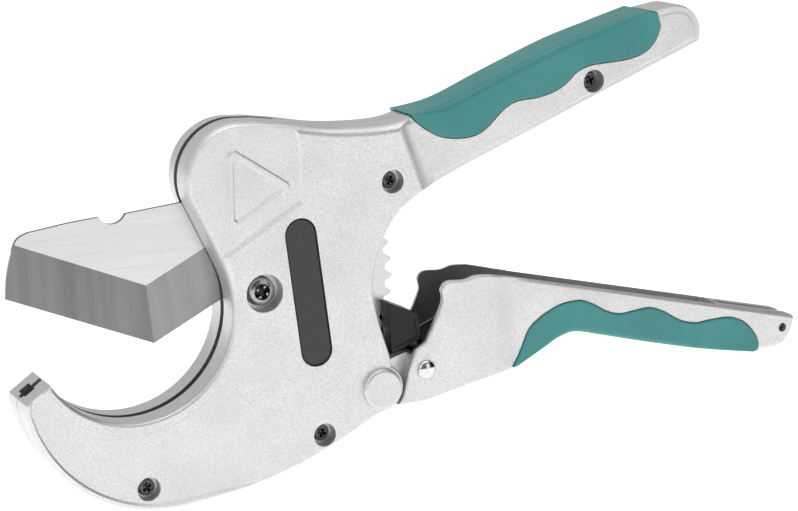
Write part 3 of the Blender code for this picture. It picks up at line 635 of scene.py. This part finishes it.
def jaw_window(side):
    """The rectangular window in the jaw's end face, round the blade slot, and its depth."""
    lean = math.radians(JAW_TIP_ANGLE + 4)
    out = (math.cos(lean), math.sin(lean))
    down = (-out[1], out[0])
    start = (JAW_C[0] + out[0] * (JAW_R + 3.6), JAW_C[1] + out[1] * (JAW_R + 3.6))
    corners = [(start[0] + out[0] * a - down[0] * b, start[1] + out[1] * a - down[1] * b)
               for a, b in ((0, 6), (4.1, 6), (4.1, -3.2), (0, -3.2))]
    return corners, 2.9 if side == FRONT else 4.4


def tongue_pocket():
    """The room that the handle's tongue sweeps, clockwise."""
    return (arc(HANDLE_PIVOT, 11.4, 128, 86, 10) + arc(HANDLE_PIVOT, 16.3, 84, 38, 14)
            + arc(HANDLE_PIVOT, 11.4, 36, -80, 24) + arc(HANDLE_PIVOT, 6.9, -80, -230, 30))


def shell(name, side):
    """One half shell: side FRONT or REAR."""
    outline, widths = shell_outline()
    inner = depth(side, PART_GAP)
    made = filleted(name, outline, widths, rim_planes(depth(side, FACE), -side * 1.5) + [(inner, 0, 0)])
    # The upper handle is thinner than the body, and a slope runs down to it.
    lean = Vector((0.918, 0.396))
    along = Vector((-0.396, 0.918))
    rings = []
    for reach in (-160, 160):
        ring = []
        for s, distance in ((62.4, FACE + 0.2), (68.5, HANDLE_FACE - 0.2), (200, HANDLE_FACE - 0.2),
                            (200, FACE + 8), (62.4, FACE + 8)):
            point = lean * s + along * reach
            ring.append((point.x, depth(side, distance), point.y))
        rings.append(ring)
    combine(made, body("slope_cutter", rings))
    thin, thin_widths = handle_outline()
    union(made, filleted("handle", thin, thin_widths,
                         rim_planes(depth(side, HANDLE_FACE), -side * 1.5) + [(inner, 0, 0)]))
    recess = slab("grip_recess", grown(upper_grip_outline()[0], GAP), 30)
    combine(recess, slab("core", upper_core(), CORE_FACE))
    combine(made, recess)
    closed_pin = turned_about(LATCH_PIN, HANDLE_PIVOT, HANDLE_TRAVEL)
    latch_room = arc(closed_pin, LATCH_REACH + 0.5, 175, 10, 36) + [(180, 50), (140, 50)]
    for room, outline, half in (("blade_room", blade_pocket(), SLOT_HALF),
                                ("tongue_room", tongue_pocket(), TONGUE_HALF + GAP),
                                ("window", *jaw_window(side)),
                                ("latch_room", latch_room, LATCH_HALF + 0.5)):
        combine(made, prism(room, outline, *sorted((MID_Y - side * 20, depth(side, half)))))
    return made


def paint_shade_in_rooms(made):
    """Marks the walls of the slots inside a shell for the slot material, which paints shade onto them."""
    pick_faces(made, lambda centre, normal: abs(normal.y) > 0.9
               and abs(centre.y - MID_Y) < TONGUE_HALF + 0.4)


def handle_cap():
    """The raised cap over the front end of the handle's pivot, with a rounded rim."""
    radius, rim, side_height = 6.95, 1.3, 0.7
    profile = [(radius, depth(FRONT, FACE - 1)), (radius, depth(FRONT, FACE + side_height))]
    for a in (math.radians(15 * k) for k in range(1, 7)):
        profile.append((radius - rim * (1 - math.cos(a)),
                        depth(FRONT, FACE + side_height + rim * math.sin(a))))
    return turned("cap", HANDLE_PIVOT, profile)


def triangle_border():
    """A blank triangular border that stands a little proud of the head panel."""
    outer = rounded([(-12.0, 48.6), (11.0, 33.9), (-11.7, 19.2)], 2.2)
    top, rim = depth(FRONT, FACE - 0.1), 0.55
    band = filleted("band", outer, [rim] * len(outer),
                    rim_planes(top, 1, 4) + [(depth(FRONT, FACE - 1.2), 0, 0)])
    inner = rounded([(-9.9, 44.7), (6.9, 33.9), (-9.7, 23.2)], 1.2)
    wide = grown(inner, rim)
    combine(band, stacked("inner", [(wide, IN_FRONT), (wide, top),
                                    (inner, depth(FRONT, FACE - PANEL_DEPTH)), (inner, 0)]))
    return band


def round_badge(centre, normal):
    """Whether a face lies in the recess round the badge."""
    first, last = Vector(BADGE[0]), Vector(BADGE[1])
    place = Vector((centre.x, centre.z))
    share = min(1, max(0, (place - first).dot(last - first) / (last - first).length_squared))
    near = (place - first.lerp(last, share)).length
    return near < BADGE_R + GAP + 0.05 and centre.y > depth(FRONT, FACE - 0.1)


def front_shell(cast, painted_shade_cast):
    made = shell("front_shell_cast", FRONT)
    union(made, handle_cap())
    combine(made, cylinder("bolt_bore", HANDLE_PIVOT, BOLT_R + GAP, depth(FRONT, 8.8), 0))
    head_panel = [(-40, 60), (9.0, 60), (9.8, 54.6), (11.5, 50.6), (12.2, 45.8), (12.7, 29.0),
                  (-16.6, 11.2), (-40, 10)]
    sunk(made, head_panel, PANEL_DEPTH, 0.8)
    jaw_panel = (arc(JAW_C, JAW_R + 4.2, 207, 318, 60) + [(-12.6, -28.8), (14.6, -58.2), (0, -62.5)]
                 + arc_through((-26.0, -65.3), (-62.0, -55.9), (-78.0, -31.5), 44))
    sunk(made, jaw_panel, PANEL_DEPTH, 0.6)
    union(made, triangle_border())
    combine(made, prism("badge_recess", pill(*BADGE, BADGE_R + GAP), IN_FRONT, depth(FRONT, FACE - 1.6)))
    combine(made, cylinder("pivot_bore", PIVOT, PIVOT_BORE_R, IN_FRONT, depth(FRONT, 5.2)))
    combine(made, cylinder("bush_bore", PIVOT, BUSH_R + GAP, IN_FRONT, 0))
    combine(made, cylinder("spring_room", PIVOT, 10.2, depth(FRONT, 4.0), 0))
    for x, z, face in CASE_SCREWS:
        combine(made, cylinder("screw_bore", (x, z), CASE_BORE_R, IN_FRONT, depth(FRONT, face - 4.8)))
        combine(made, cylinder("screw_hole", (x, z), CASE_SHANK_R + GAP, IN_FRONT, 0, 24))
    paint_shade_in_rooms(made)
    # The recess round the badge gets the slot material's painted shade too.
    pick_faces(made, round_badge)
    return finish(made, [cast, painted_shade_cast], "body", "front_shell")


def rear_shell(cast, painted_shade_cast):
    made = shell("rear_shell_cast", REAR)
    combine(made, cylinder("bush_bore", PIVOT, BUSH_R + GAP, -15, depth(REAR, 5.3)))
    combine(made, cylinder("head_bore", HANDLE_PIVOT, 5.8, depth(REAR, 8.0), 5))
    combine(made, cylinder("bolt_bore", HANDLE_PIVOT, BOLT_R + GAP, -15, 5))
    combine(made, cylinder("spring_room", HANDLE_PIVOT, 6.3, -15, depth(REAR, 6.7)))
    paint_shade_in_rooms(made)
    return finish(made, [cast, painted_shade_cast], "body", "rear_shell")


def upper_grip(rubber):
    outline, on_top = upper_grip_outline()
    widths = tapered(on_top + 1, 2.6) + tapered(len(outline) - on_top - 1, 0.6)
    made = rounded_plate("upper_grip_rubber", outline, widths, GRIP_FACE)
    combine(made, slab("inner", grown(upper_core(), GAP), CORE_FACE + GAP))
    return finish(made, rubber, "body", "upper_grip")


def sector_points():
    """Ratchet teeth along the blade's right-hand rim, clockwise from the top."""
    found = []
    for k in range(SECTOR_TO, SECTOR_FROM - 1, -1):
        middle = k * TOOTH_PITCH
        for turn, radius in ((0.52, ROOT_R + 0.05), (0.44, ROOT_R), (0.36, ROOT_R + 0.15),
                             (0.12, TIP_R - 0.35), (0.06, TIP_R - 0.05), (0.0, TIP_R), (-0.06, TIP_R - 0.1),
                             (-0.12, TIP_R - 0.4), (-0.30, ROOT_R + 0.35), (-0.38, ROOT_R + 0.1)):
            a = math.radians(middle + turn * TOOTH_PITCH)
            found.append((radius * math.cos(a), radius * math.sin(a)))
    return found


def blade_outline():
    """The blade seen from the front, clockwise from its hub."""
    hub = arc(PIVOT, 11.0, -75, -166, 24)
    edge = [EDGE_KNEE, EDGE_TIP]
    end = smooth([EDGE_TIP, (-82.0, 11.3), (-79.8, 19.6), (-78.0, 22.6), (-74.8, 24.1)])[1:]
    notch = arc((-47.6, 29.6), 4.9, 209, 337, 24)
    back = [(-25.0, 29.8), (0.0, 31.0), (24.0, 36.0)]
    return hub + edge + end + [(-61.3, 26.2)] + notch + back + sector_points() + [(13.0, -17.0)]


def grind(obj, start, end, width):
    """Grinds both sides of the blade over a width, down to its edge from start to end."""
    length = math.dist(start, end)
    nx, nz = -(end[1] - start[1]) / length, (end[0] - start[0]) / length
    corners = [(-90, -25), (-90, 45), (-8.5, 45), (-8.5, -25)]
    for side in (FRONT, REAR):
        sloping = []
        for x, z in corners:
            above = (x - start[0]) * nx + (z - start[1]) * nz
            sloping.append((x, depth(side, EDGE_HALF + (BLADE_HALF - EDGE_HALF) * above / width), z))
        combine(obj, body("bevel", [sloping, [(x, depth(side, 12), z) for x, z in corners]]))


def blade(face_steel, left_shaded_steel, right_shaded_steel):
    made = slab("blade_steel", blade_outline(), BLADE_HALF)
    grind(made, EDGE_TIP, EDGE_KNEE, 17.0)
    grind(made, EDGE_KNEE, EDGE_HEEL, 18.2)
    combine(made, slab("bush_hole", circle(PIVOT, BUSH_R + GAP), 5))
    combine(made, slab("spring_hole", circle((7.6, 0), 0.8, 12), 5))
    # Each ground stretch gets its own darker copy of the steel, told apart by the way it faces: painted shade,
    # different on the two stretches; the back's edge gets the darker copy too, as painted shade.
    for face in made.data.polygons:
        n = face.normal
        if 0.5 < abs(n.y) < 0.9995:
            face.material_index = 1 if n.x < 0 else 2
        elif abs(n.y) < 0.3 and n.z > 0.3 and face.center.x < 0:
            face.material_index = 1
    return finish(made, [face_steel, left_shaded_steel, right_shaded_steel], "cutting_blade", "blade", 4)


def handle_top():
    """The upper edge of the lower handle's wide cheeks, left to right."""
    return [(57.2, -21.8), (60.5, -15.2), (63.3, -8.5), (62.9, -4.4), (65.1, -2.0), (71.4, -2.0),
            (75.7, -0.9), (81.4, -1.1)]


def grip_bottom():
    """The lower edge of the lower handle, right to left."""
    return smooth([(188.8, -38.3), (164.4, -34.8), (142.8, -30.3), (124.6, -26.0), (115.2, -24.0),
                   (109.6, -25.0), (102.5, -28.4), (91.0, -34.0)])


def hinge_cheek_outline():
    """The wide cheeks, clockwise, with the rim's width; the rim thins out in the corner by the boss."""
    left = arc(HANDLE_PIVOT, BOSS_R + 0.7, -46, -8, 12) + [(50.9, -31.2), (53.5, -24.1)]
    top = handle_top()
    knee = smooth(top[1:], 5)
    rest = top[:1] + knee + [(96, -4.2), (96, -31.5), (91.0, -34.0), (74.0, -37.8), (57.8, -41.8)]
    widths = [0.2, 0.2, 0.2, 0.3, 0.4, 0.5] + [0.8] * (len(left) + len(rest) - 6)
    return left + rest, widths


def rear_arm_outline():
    """The long arm of the lower handle, clockwise."""
    end = ([(202.6, -26.6)] + arc_through((203.6, -27.6), (202.4, -32.4), (199.4, -36.6), 8)
           + [(196.5, -37.8)])
    return [(84.0, -1.7)] + end + grip_bottom() + [(84.0, -35.4)]


def lower_core_bottom():
    """The lower edge of the thinner metal that the lower grip is wrapped round, right to left."""
    return smooth([(192.0, -35.8), (164.5, -31.9), (143.0, -27.4), (125.0, -23.1), (115.4, -21.1),
                   (110.4, -22.0), (103.6, -25.4), (86.0, -33.4)])


def lower_core():
    return lower_core_bottom() + [(86, 10), (192, 10)]


def lower_grip_outline():
    """The lower grip seen from the front, clockwise, and how many of its points lie along the wavy top."""
    wave = smooth([(90.6, -34.3), (93.3, -29.4), (96.5, -22.0), (99.9, -18.7), (103.8, -16.3),
                   (108.9, -14.2), (116.2, -13.5), (121.4, -15.4), (126.6, -18.2), (131.9, -19.7),
                   (137.0, -19.2), (143.5, -18.6), (148.9, -20.3), (155.5, -24.0), (162.0, -25.8),
                   (168.5, -25.3), (176.0, -25.1), (181.6, -27.0), (186.1, -31.1), (188.3, -35.2),
                   (188.0, -38.0)])
    under = [(x, z - 0.5) for x, z in grip_bottom()[1:-1]]
    return wave + under, len(wave)


def lower_handle(cast, painted_shade_cast, painted_light_cast):
    made = rounded_plate("lower_handle_cast", *hinge_cheek_outline(), FACE, 4)
    for side in (FRONT, REAR):
        slope = [(83.4, FACE + 0.2), (92.0, HANDLE_FACE - 0.2), (120, HANDLE_FACE - 0.2), (120, 20),
                 (83.4, 20)]
        combine(made, body("slope_cutter", [[(x, depth(side, d), z) for x, d in slope] for z in (-60, 20)]))
    arm = rear_arm_outline()
    union(made, rounded_plate("arm", arm, [1.4] * len(arm), HANDLE_FACE, 5))
    recess = slab("grip_recess", grown(lower_grip_outline()[0], GAP), 30)
    combine(recess, slab("core", lower_core(), CORE_FACE))
    combine(made, recess)
    wide = [(40, 10), (83, 10), (83, -32.2), (75, -34.6), (66, -36.4), (57.5, -37.4), (54.6, -36.4),
            (53.2, -34.0), (53.2, -26.0), (44, -26.6)]
    combine(made, slab("wide_channel", wide, CHANNEL_HALF))
    narrowing = [(82, CHANNEL_HALF), (83, CHANNEL_HALF), (90, ARM_CHANNEL_HALF)]
    outline = ([(x, depth(FRONT, half)) for x, half in narrowing]
               + [(x, depth(REAR, half)) for x, half in narrowing[::-1]])
    combine(made, body("narrowing", [[(x, y, z) for x, y in outline] for z in (-30, 10)]))
    combine(made, slab("arm_channel", [(84, 10), (172, 10), (172, -23.8), (84, -5.3)], ARM_CHANNEL_HALF))
    floor = [(x, z + 2.6) for x, z in lower_core_bottom()[8:-8]]
    narrow = [(85, 10), (178, 10), (174, -22.0)] + floor + [(85, -30.2)]
    combine(made, slab("core_channel", narrow, CORE_CHANNEL_HALF))
    tongue = arc(HANDLE_PIVOT, 6.4, 275, 88, 30) + [(47.5, -27.6), (53.0, -25.9), (53.0, -41.9)]
    union(made, slab("tongue", tongue, TONGUE_HALF))
    for step in range(4):
        centre = turned_about(PIVOT, HANDLE_PIVOT, -HANDLE_TRAVEL * step / 3)
        combine(made, slab("fork", circle(centre, TIP_R + 1.3, 96), BLADE_HALF + 0.5))
    combine(made, slab("bolt_bore", circle(HANDLE_PIVOT, BOLT_R + GAP), 8))
    combine(made, cylinder("pin_bore", PAWL_PIN, PAWL_PIN_R + GAP, IN_FRONT, 10, 48))
    combine(made, cylinder("pin_seat", PAWL_PIN, 3.4, depth(REAR, 9.6), 10, 48))
    slot = [(176.0, -27.8), (175.0, -15.0), (210, -15.0), (210, -34.6), (194.2, -34.6), (193.4, -30.4)]
    combine(made, slab("latch_slot", slot, LATCH_HALF + 0.4))
    combine(made, cylinder("latch_bore", LATCH_PIN, LATCH_PIN_R + GAP, IN_FRONT, 10, 40))
    # The channel's walls and floor get the slot material's painted shade, and the tongue's flat sides get a
    # brighter aluminium, painted light where they lie in shade.
    pick_faces(made, lambda centre, normal: centre.x > 53 and abs(centre.y - MID_Y) < CHANNEL_HALF + 0.1
               and (normal.y * (centre.y - MID_Y) < -1 or normal.z > 0.5 and centre.z < -20))
    pick_faces(made, lambda centre, normal: abs(normal.y) > 0.9 and centre.x < 54
               and abs(abs(centre.y - MID_Y) - TONGUE_HALF) < 0.05, 2)
    return finish(made, [cast, painted_shade_cast, painted_light_cast], "squeezed_handle", "lower_handle")


def lower_grip(rubber):
    outline, on_top = lower_grip_outline()
    widths = tapered(on_top, 0.6) + tapered(len(outline) - on_top, 2.2)
    made = rounded_plate("lower_grip_rubber", outline, widths, GRIP_FACE)
    combine(made, slab("inner", grown(lower_core(), GAP), CORE_FACE + GAP))
    return finish(made, rubber, "squeezed_handle", "lower_grip")


def pawl(black):
    """The block that grips the ratchet, on an eye that hangs in the handle's channel."""
    eye = arc(PAWL_PIN, 3.7, 20, -215, 30)
    outline = ([(44.9, -7.9), (55.7, -12.5), (57.2, -21.4), (60.9, -29.6)] + eye
               + [(55.8, -26.5), (55.3, -22.1), (46.3, -25.5)])
    made = rounded_plate("pawl_block", outline, [0.25] * len(outline), PAWL_HALF, 2)
    for step in range(7):
        share = step / 6
        centre = turned_about(PIVOT, HANDLE_PIVOT, -HANDLE_TRAVEL * share)
        centre = turned_about(centre, PAWL_PIN, PAWL_TRAVEL * share)
        combine(made, slab("groove", circle(centre, TIP_R + 0.6, 96), BLADE_HALF + 0.4))
    combine(made, slab("pin_bore", circle(PAWL_PIN, PAWL_PIN_R + GAP, 32), 12))
    # A shallow panel in each cheek of the block.
    panel = [(46.5, -10.6), (54.9, -14.2), (55.8, -20.7), (47.5, -23.8)]
    for side in (FRONT, REAR):
        combine(made, prism("panel", panel, *sorted((depth(side, PAWL_HALF - 0.5), depth(side, 20)))))
    return finish(made, black, "drive_pawl", "pawl")


def cross_recess(obj, centre, half_length, low, high, turn):
    """A cruciform recess in a screw head, with arms that taper inwards."""
    for angle in (turn, turn + 90):
        c, s = math.cos(math.radians(angle)), math.sin(math.radians(angle))
        rings = []
        for y, reach, width in ((low, 1.15, 0.36), (high, 0.62, 0.20)):
            a, b = half_length * reach, half_length * width
            rings.append([(centre[0] + p * c - q * s, y, centre[1] + p * s + q * c)
                          for p, q in ((-a, b), (a, b), (a, -b), (-a, -b))])
        combine(obj, body("recess", rings))


def pan_screw(name, node, centre, floor, head_r, head_h, shank_r, end, surfaces, turn):
    """A pan-head screw entered from the front, its domed head standing on a floor at a depth."""
    dome = [(head_r * math.cos(a), depth(FRONT, floor + head_h * (0.42 + 0.58 * math.sin(a))))
            for a in (math.radians(9 * k) for k in range(10))][:-1]
    profile = [(shank_r - 0.35, depth(REAR, end)), (shank_r, depth(REAR, end - 0.5)),
               (shank_r, depth(FRONT, floor)), (head_r, depth(FRONT, floor))] + dome
    made = turned(name, centre, profile, 48)
    top = depth(FRONT, floor + head_h)
    cross_recess(made, centre, head_r * 0.6, top - 0.3, top + head_h * 0.75, turn)
    middle = Vector(centre)
    # The faces inside the cross recess get the black material: painted shade.
    pick_faces(made, lambda place, normal: (Vector((place.x, place.z)) - middle).length < head_r * 0.62
               and top + 0.12 < place.y < depth(FRONT, floor))
    return finish(made, surfaces, "body", node)


def screws(nickel, dark, black):
    pan_screw("pivot_screw_bright", "pivot_screw", PIVOT, 6.2, PIVOT_HEAD_R, 2.3, PIVOT_SHANK_R, 8.8,
              [nickel, black], 22)
    for number, (x, z, face) in enumerate(CASE_SCREWS, 1):
        pan_screw(f"case_screw_{number}_dark", f"case_screw_{number}", (x, z), face - 4.7, CASE_HEAD_R,
                  4.7 - HEAD_DEPTH, CASE_SHANK_R, face - 2.0, [dark, black],
                  15 + 50 * number)


def badge_plate(plastic):
    outline = pill(*BADGE, BADGE_R)
    planes = rim_planes(depth(FRONT, FACE - 0.3), 1, 4) + [(depth(FRONT, FACE - 1.5), 0, 0)]
    made = filleted("badge_plate_dark", outline, [0.5] * len(outline), planes)
    return finish(made, plastic, "body", "badge_plate")


def pawl_rivet(bright):
    dome = [(3.3 * math.cos(a), depth(FRONT, FACE + 0.1 + 1.55 * math.sin(a)))
            for a in (math.radians(8 * k) for k in range(11))]
    profile = dome[::-1] + [(PAWL_PIN_R, depth(FRONT, FACE + 0.1)), (PAWL_PIN_R, depth(REAR, 9.7)),
                            (3.0, depth(REAR, 9.7)), (3.0, depth(REAR, 10.1)), (2.7, depth(REAR, 10.3))]
    made = turned("pawl_rivet_bright", PAWL_PIN, profile, 48)
    return finish(made, bright, "squeezed_handle", "pawl_rivet")


def handle_bolt(steel):
    profile = [(BOLT_R - 0.5, depth(FRONT, 8.4)), (BOLT_R, depth(FRONT, 7.9)), (BOLT_R, depth(REAR, 8.15)),
               (5.5, depth(REAR, 8.15)), (5.5, depth(REAR, 9.8)), (5.35, depth(REAR, 10.1)),
               (5.0, depth(REAR, 10.2))]
    made = turned("handle_bolt_steel", HANDLE_PIVOT, profile, 48)
    combine(made, cylinder("socket", HANDLE_PIVOT, 2.6, depth(REAR, 8.6), 5, 6))
    return finish(made, steel, "body", "handle_bolt")


def dress_cad(surfaces):
    """Gives the CAD nodes that stay their materials."""
    for part in frame["record"]["subparts"]:
        node = frame["nodes"][part["node"]]
        node.data.materials.clear()
        node.data.materials.append(surfaces[part["material_slot"]])


# ---------- stage, lights and camera ----------

def area_light(name, place, aim, size, power):
    data = bpy.data.lights.new(name, "AREA")
    data.shape = "RECTANGLE"
    data.size, data.size_y = size
    data.energy = power
    lamp = bpy.data.objects.new(name, data)
    lamp.location = place
    lamp.rotation_euler = (Vector(aim) - Vector(place)).to_track_quat("-Z", "Y").to_euler()
    bpy.context.scene.collection.objects.link(lamp)


def build_world():
    """A studio: bright behind and overhead, dimmer in front, with a dark wall to the right."""
    world = bpy.data.worlds.new("studio")
    world.use_nodes = True
    tree = world.node_tree
    parts = tree.nodes.new("ShaderNodeSeparateXYZ")
    tree.links.new(tree.nodes.new("ShaderNodeTexCoord").outputs["Generated"], parts.inputs[0])

    def mathematics(operation, first, second):
        node = tree.nodes.new("ShaderNodeMath")
        node.operation = operation
        tree.links.new(first, node.inputs[0])
        if isinstance(second, float):
            node.inputs[1].default_value = second
        else:
            tree.links.new(second, node.inputs[1])
        return node.outputs["Value"]

    def ramp(source, *values):
        node = tree.nodes.new("ShaderNodeMapRange")
        node.interpolation_type = "SMOOTHSTEP"
        for socket, value in zip(RANGE_SOCKETS, values):
            node.inputs[socket].default_value = value
        tree.links.new(source, node.inputs["Value"])
        return node.outputs["Result"]

    wall = ramp(parts.outputs["X"], 0.42, 0.70, 1.0, 0.05)
    front = ramp(parts.outputs["Y"], -0.6, 0.2, 0.3, 1.0)
    above = ramp(parts.outputs["Z"], 0.45, 0.85, 0.0, 0.9)
    strength = mathematics("MAXIMUM", mathematics("MULTIPLY", wall, front), above)
    background = tree.nodes["Background"]
    background.inputs["Color"].default_value = (1.0, 1.0, 1.0, 1)
    tree.links.new(mathematics("MULTIPLY", strength, 0.6), background.inputs["Strength"])
    bpy.context.scene.world = world


def build_stage():
    """A plain white light table with soft lights above, to the left and in front."""
    ground = cad_low.z - 0.0005
    floor = prism("floor", [(-4000, 0), (-4000, 1), (4000, 1), (4000, 0)], -4000, 4000)
    floor.location.z = ground - MM
    white = bpy.data.materials.new("pale_floor")
    white.use_nodes = True
    shader = white.node_tree.nodes["Principled BSDF"]
    shader.inputs["Base Color"].default_value = (0.92, 0.92, 0.92, 1)
    shader.inputs["Roughness"].default_value = 0.9
    shader.inputs["Emission Color"].default_value = (1.0, 1.0, 1.0, 1)
    shader.inputs["Emission Strength"].default_value = 0.70
    floor.data.materials.append(white)
    centre = (cad_low + cad_high) / 2
    area_light("top_softbox", centre + Vector((0.0, -0.15, 1.0)), centre, (1.2, 0.8), 4.0)
    area_light("left_softbox", centre + Vector((-0.9, -0.6, 0.5)), centre, (0.9, 0.9), 2.6)
    area_light("front_softbox", centre + Vector((0.5, -1.1, 0.35)), centre, (0.5, 0.8), 1.2)
    bpy.context.scene.view_settings.view_transform = "Standard"


def build_camera():
    azimuth, elevation = math.radians(CAMERA_AZIMUTH), math.radians(CAMERA_ELEVATION)
    ahead = Vector((math.sin(azimuth) * math.cos(elevation), math.cos(azimuth) * math.cos(elevation),
                    -math.sin(elevation)))
    camera = bpy.data.objects.new("camera", bpy.data.cameras.new("camera"))
    camera.location = CAMERA_PLACE
    camera.rotation_euler = ahead.to_track_quat("-Z", "Y").to_euler()
    camera.data.lens = LENS_MM
    camera.data.sensor_width = SENSOR_MM
    camera.data.clip_start = 0.01
    bpy.context.scene.collection.objects.link(camera)
    bpy.context.scene.camera = camera


def build():
    cast = cast_aluminium()
    # Dull cast grey that paints shade into the slots and channels.
    painted_shade_cast = cast_in_painted_shade()
    # A brighter aluminium that paints light onto the tongue's shaded flat sides.
    painted_light_cast = plain_steel("aluminium_painted_light", (0.92, 0.92, 0.92), 0.42)
    steel = blade_steel("blade_face_steel", 0.60, 90, 0.04)
    # Darker copies of the blade steel for the ground facets: painted shade.
    left_shaded_steel = blade_steel("ground_steel_left_painted_shade", 0.19, 3, 0.16)
    right_shaded_steel = blade_steel("ground_steel_right_painted_shade", 0.27, 12, 0.10)
    bright = plain_steel("bright_steel", (0.72, 0.72, 0.72), 0.12)
    nickel = plain_steel("nickel_plated_steel", (0.40, 0.40, 0.40), 0.20)
    spring = plain_steel("spring_steel", (0.55, 0.55, 0.55), 0.30)
    dark = black_oxide()
    black = gloss_black()
    rubber = teal_rubber()
    plastic = dark_plastic()
    brass = plain_steel("brass", (0.72, 0.53, 0.27), 0.32)
    dress_cad({"cast_aluminium": cast, "brushed_steel": spring, "bright_steel": bright,
               "black_oxide_steel": dark, "black_pawl": black, "teal_rubber": rubber,
               "dark_badge": plastic, "brass": brass})
    front_shell(cast, painted_shade_cast)
    rear_shell(cast, painted_shade_cast)
    upper_grip(rubber)
    blade(steel, left_shaded_steel, right_shaded_steel)
    lower_handle(cast, painted_shade_cast, painted_light_cast)
    lower_grip(rubber)
    pawl(black)
    screws(nickel, dark, black)
    badge_plate(plastic)
    pawl_rivet(bright)
    handle_bolt(spring)
    build_world()
    build_stage()
    build_camera()


build()
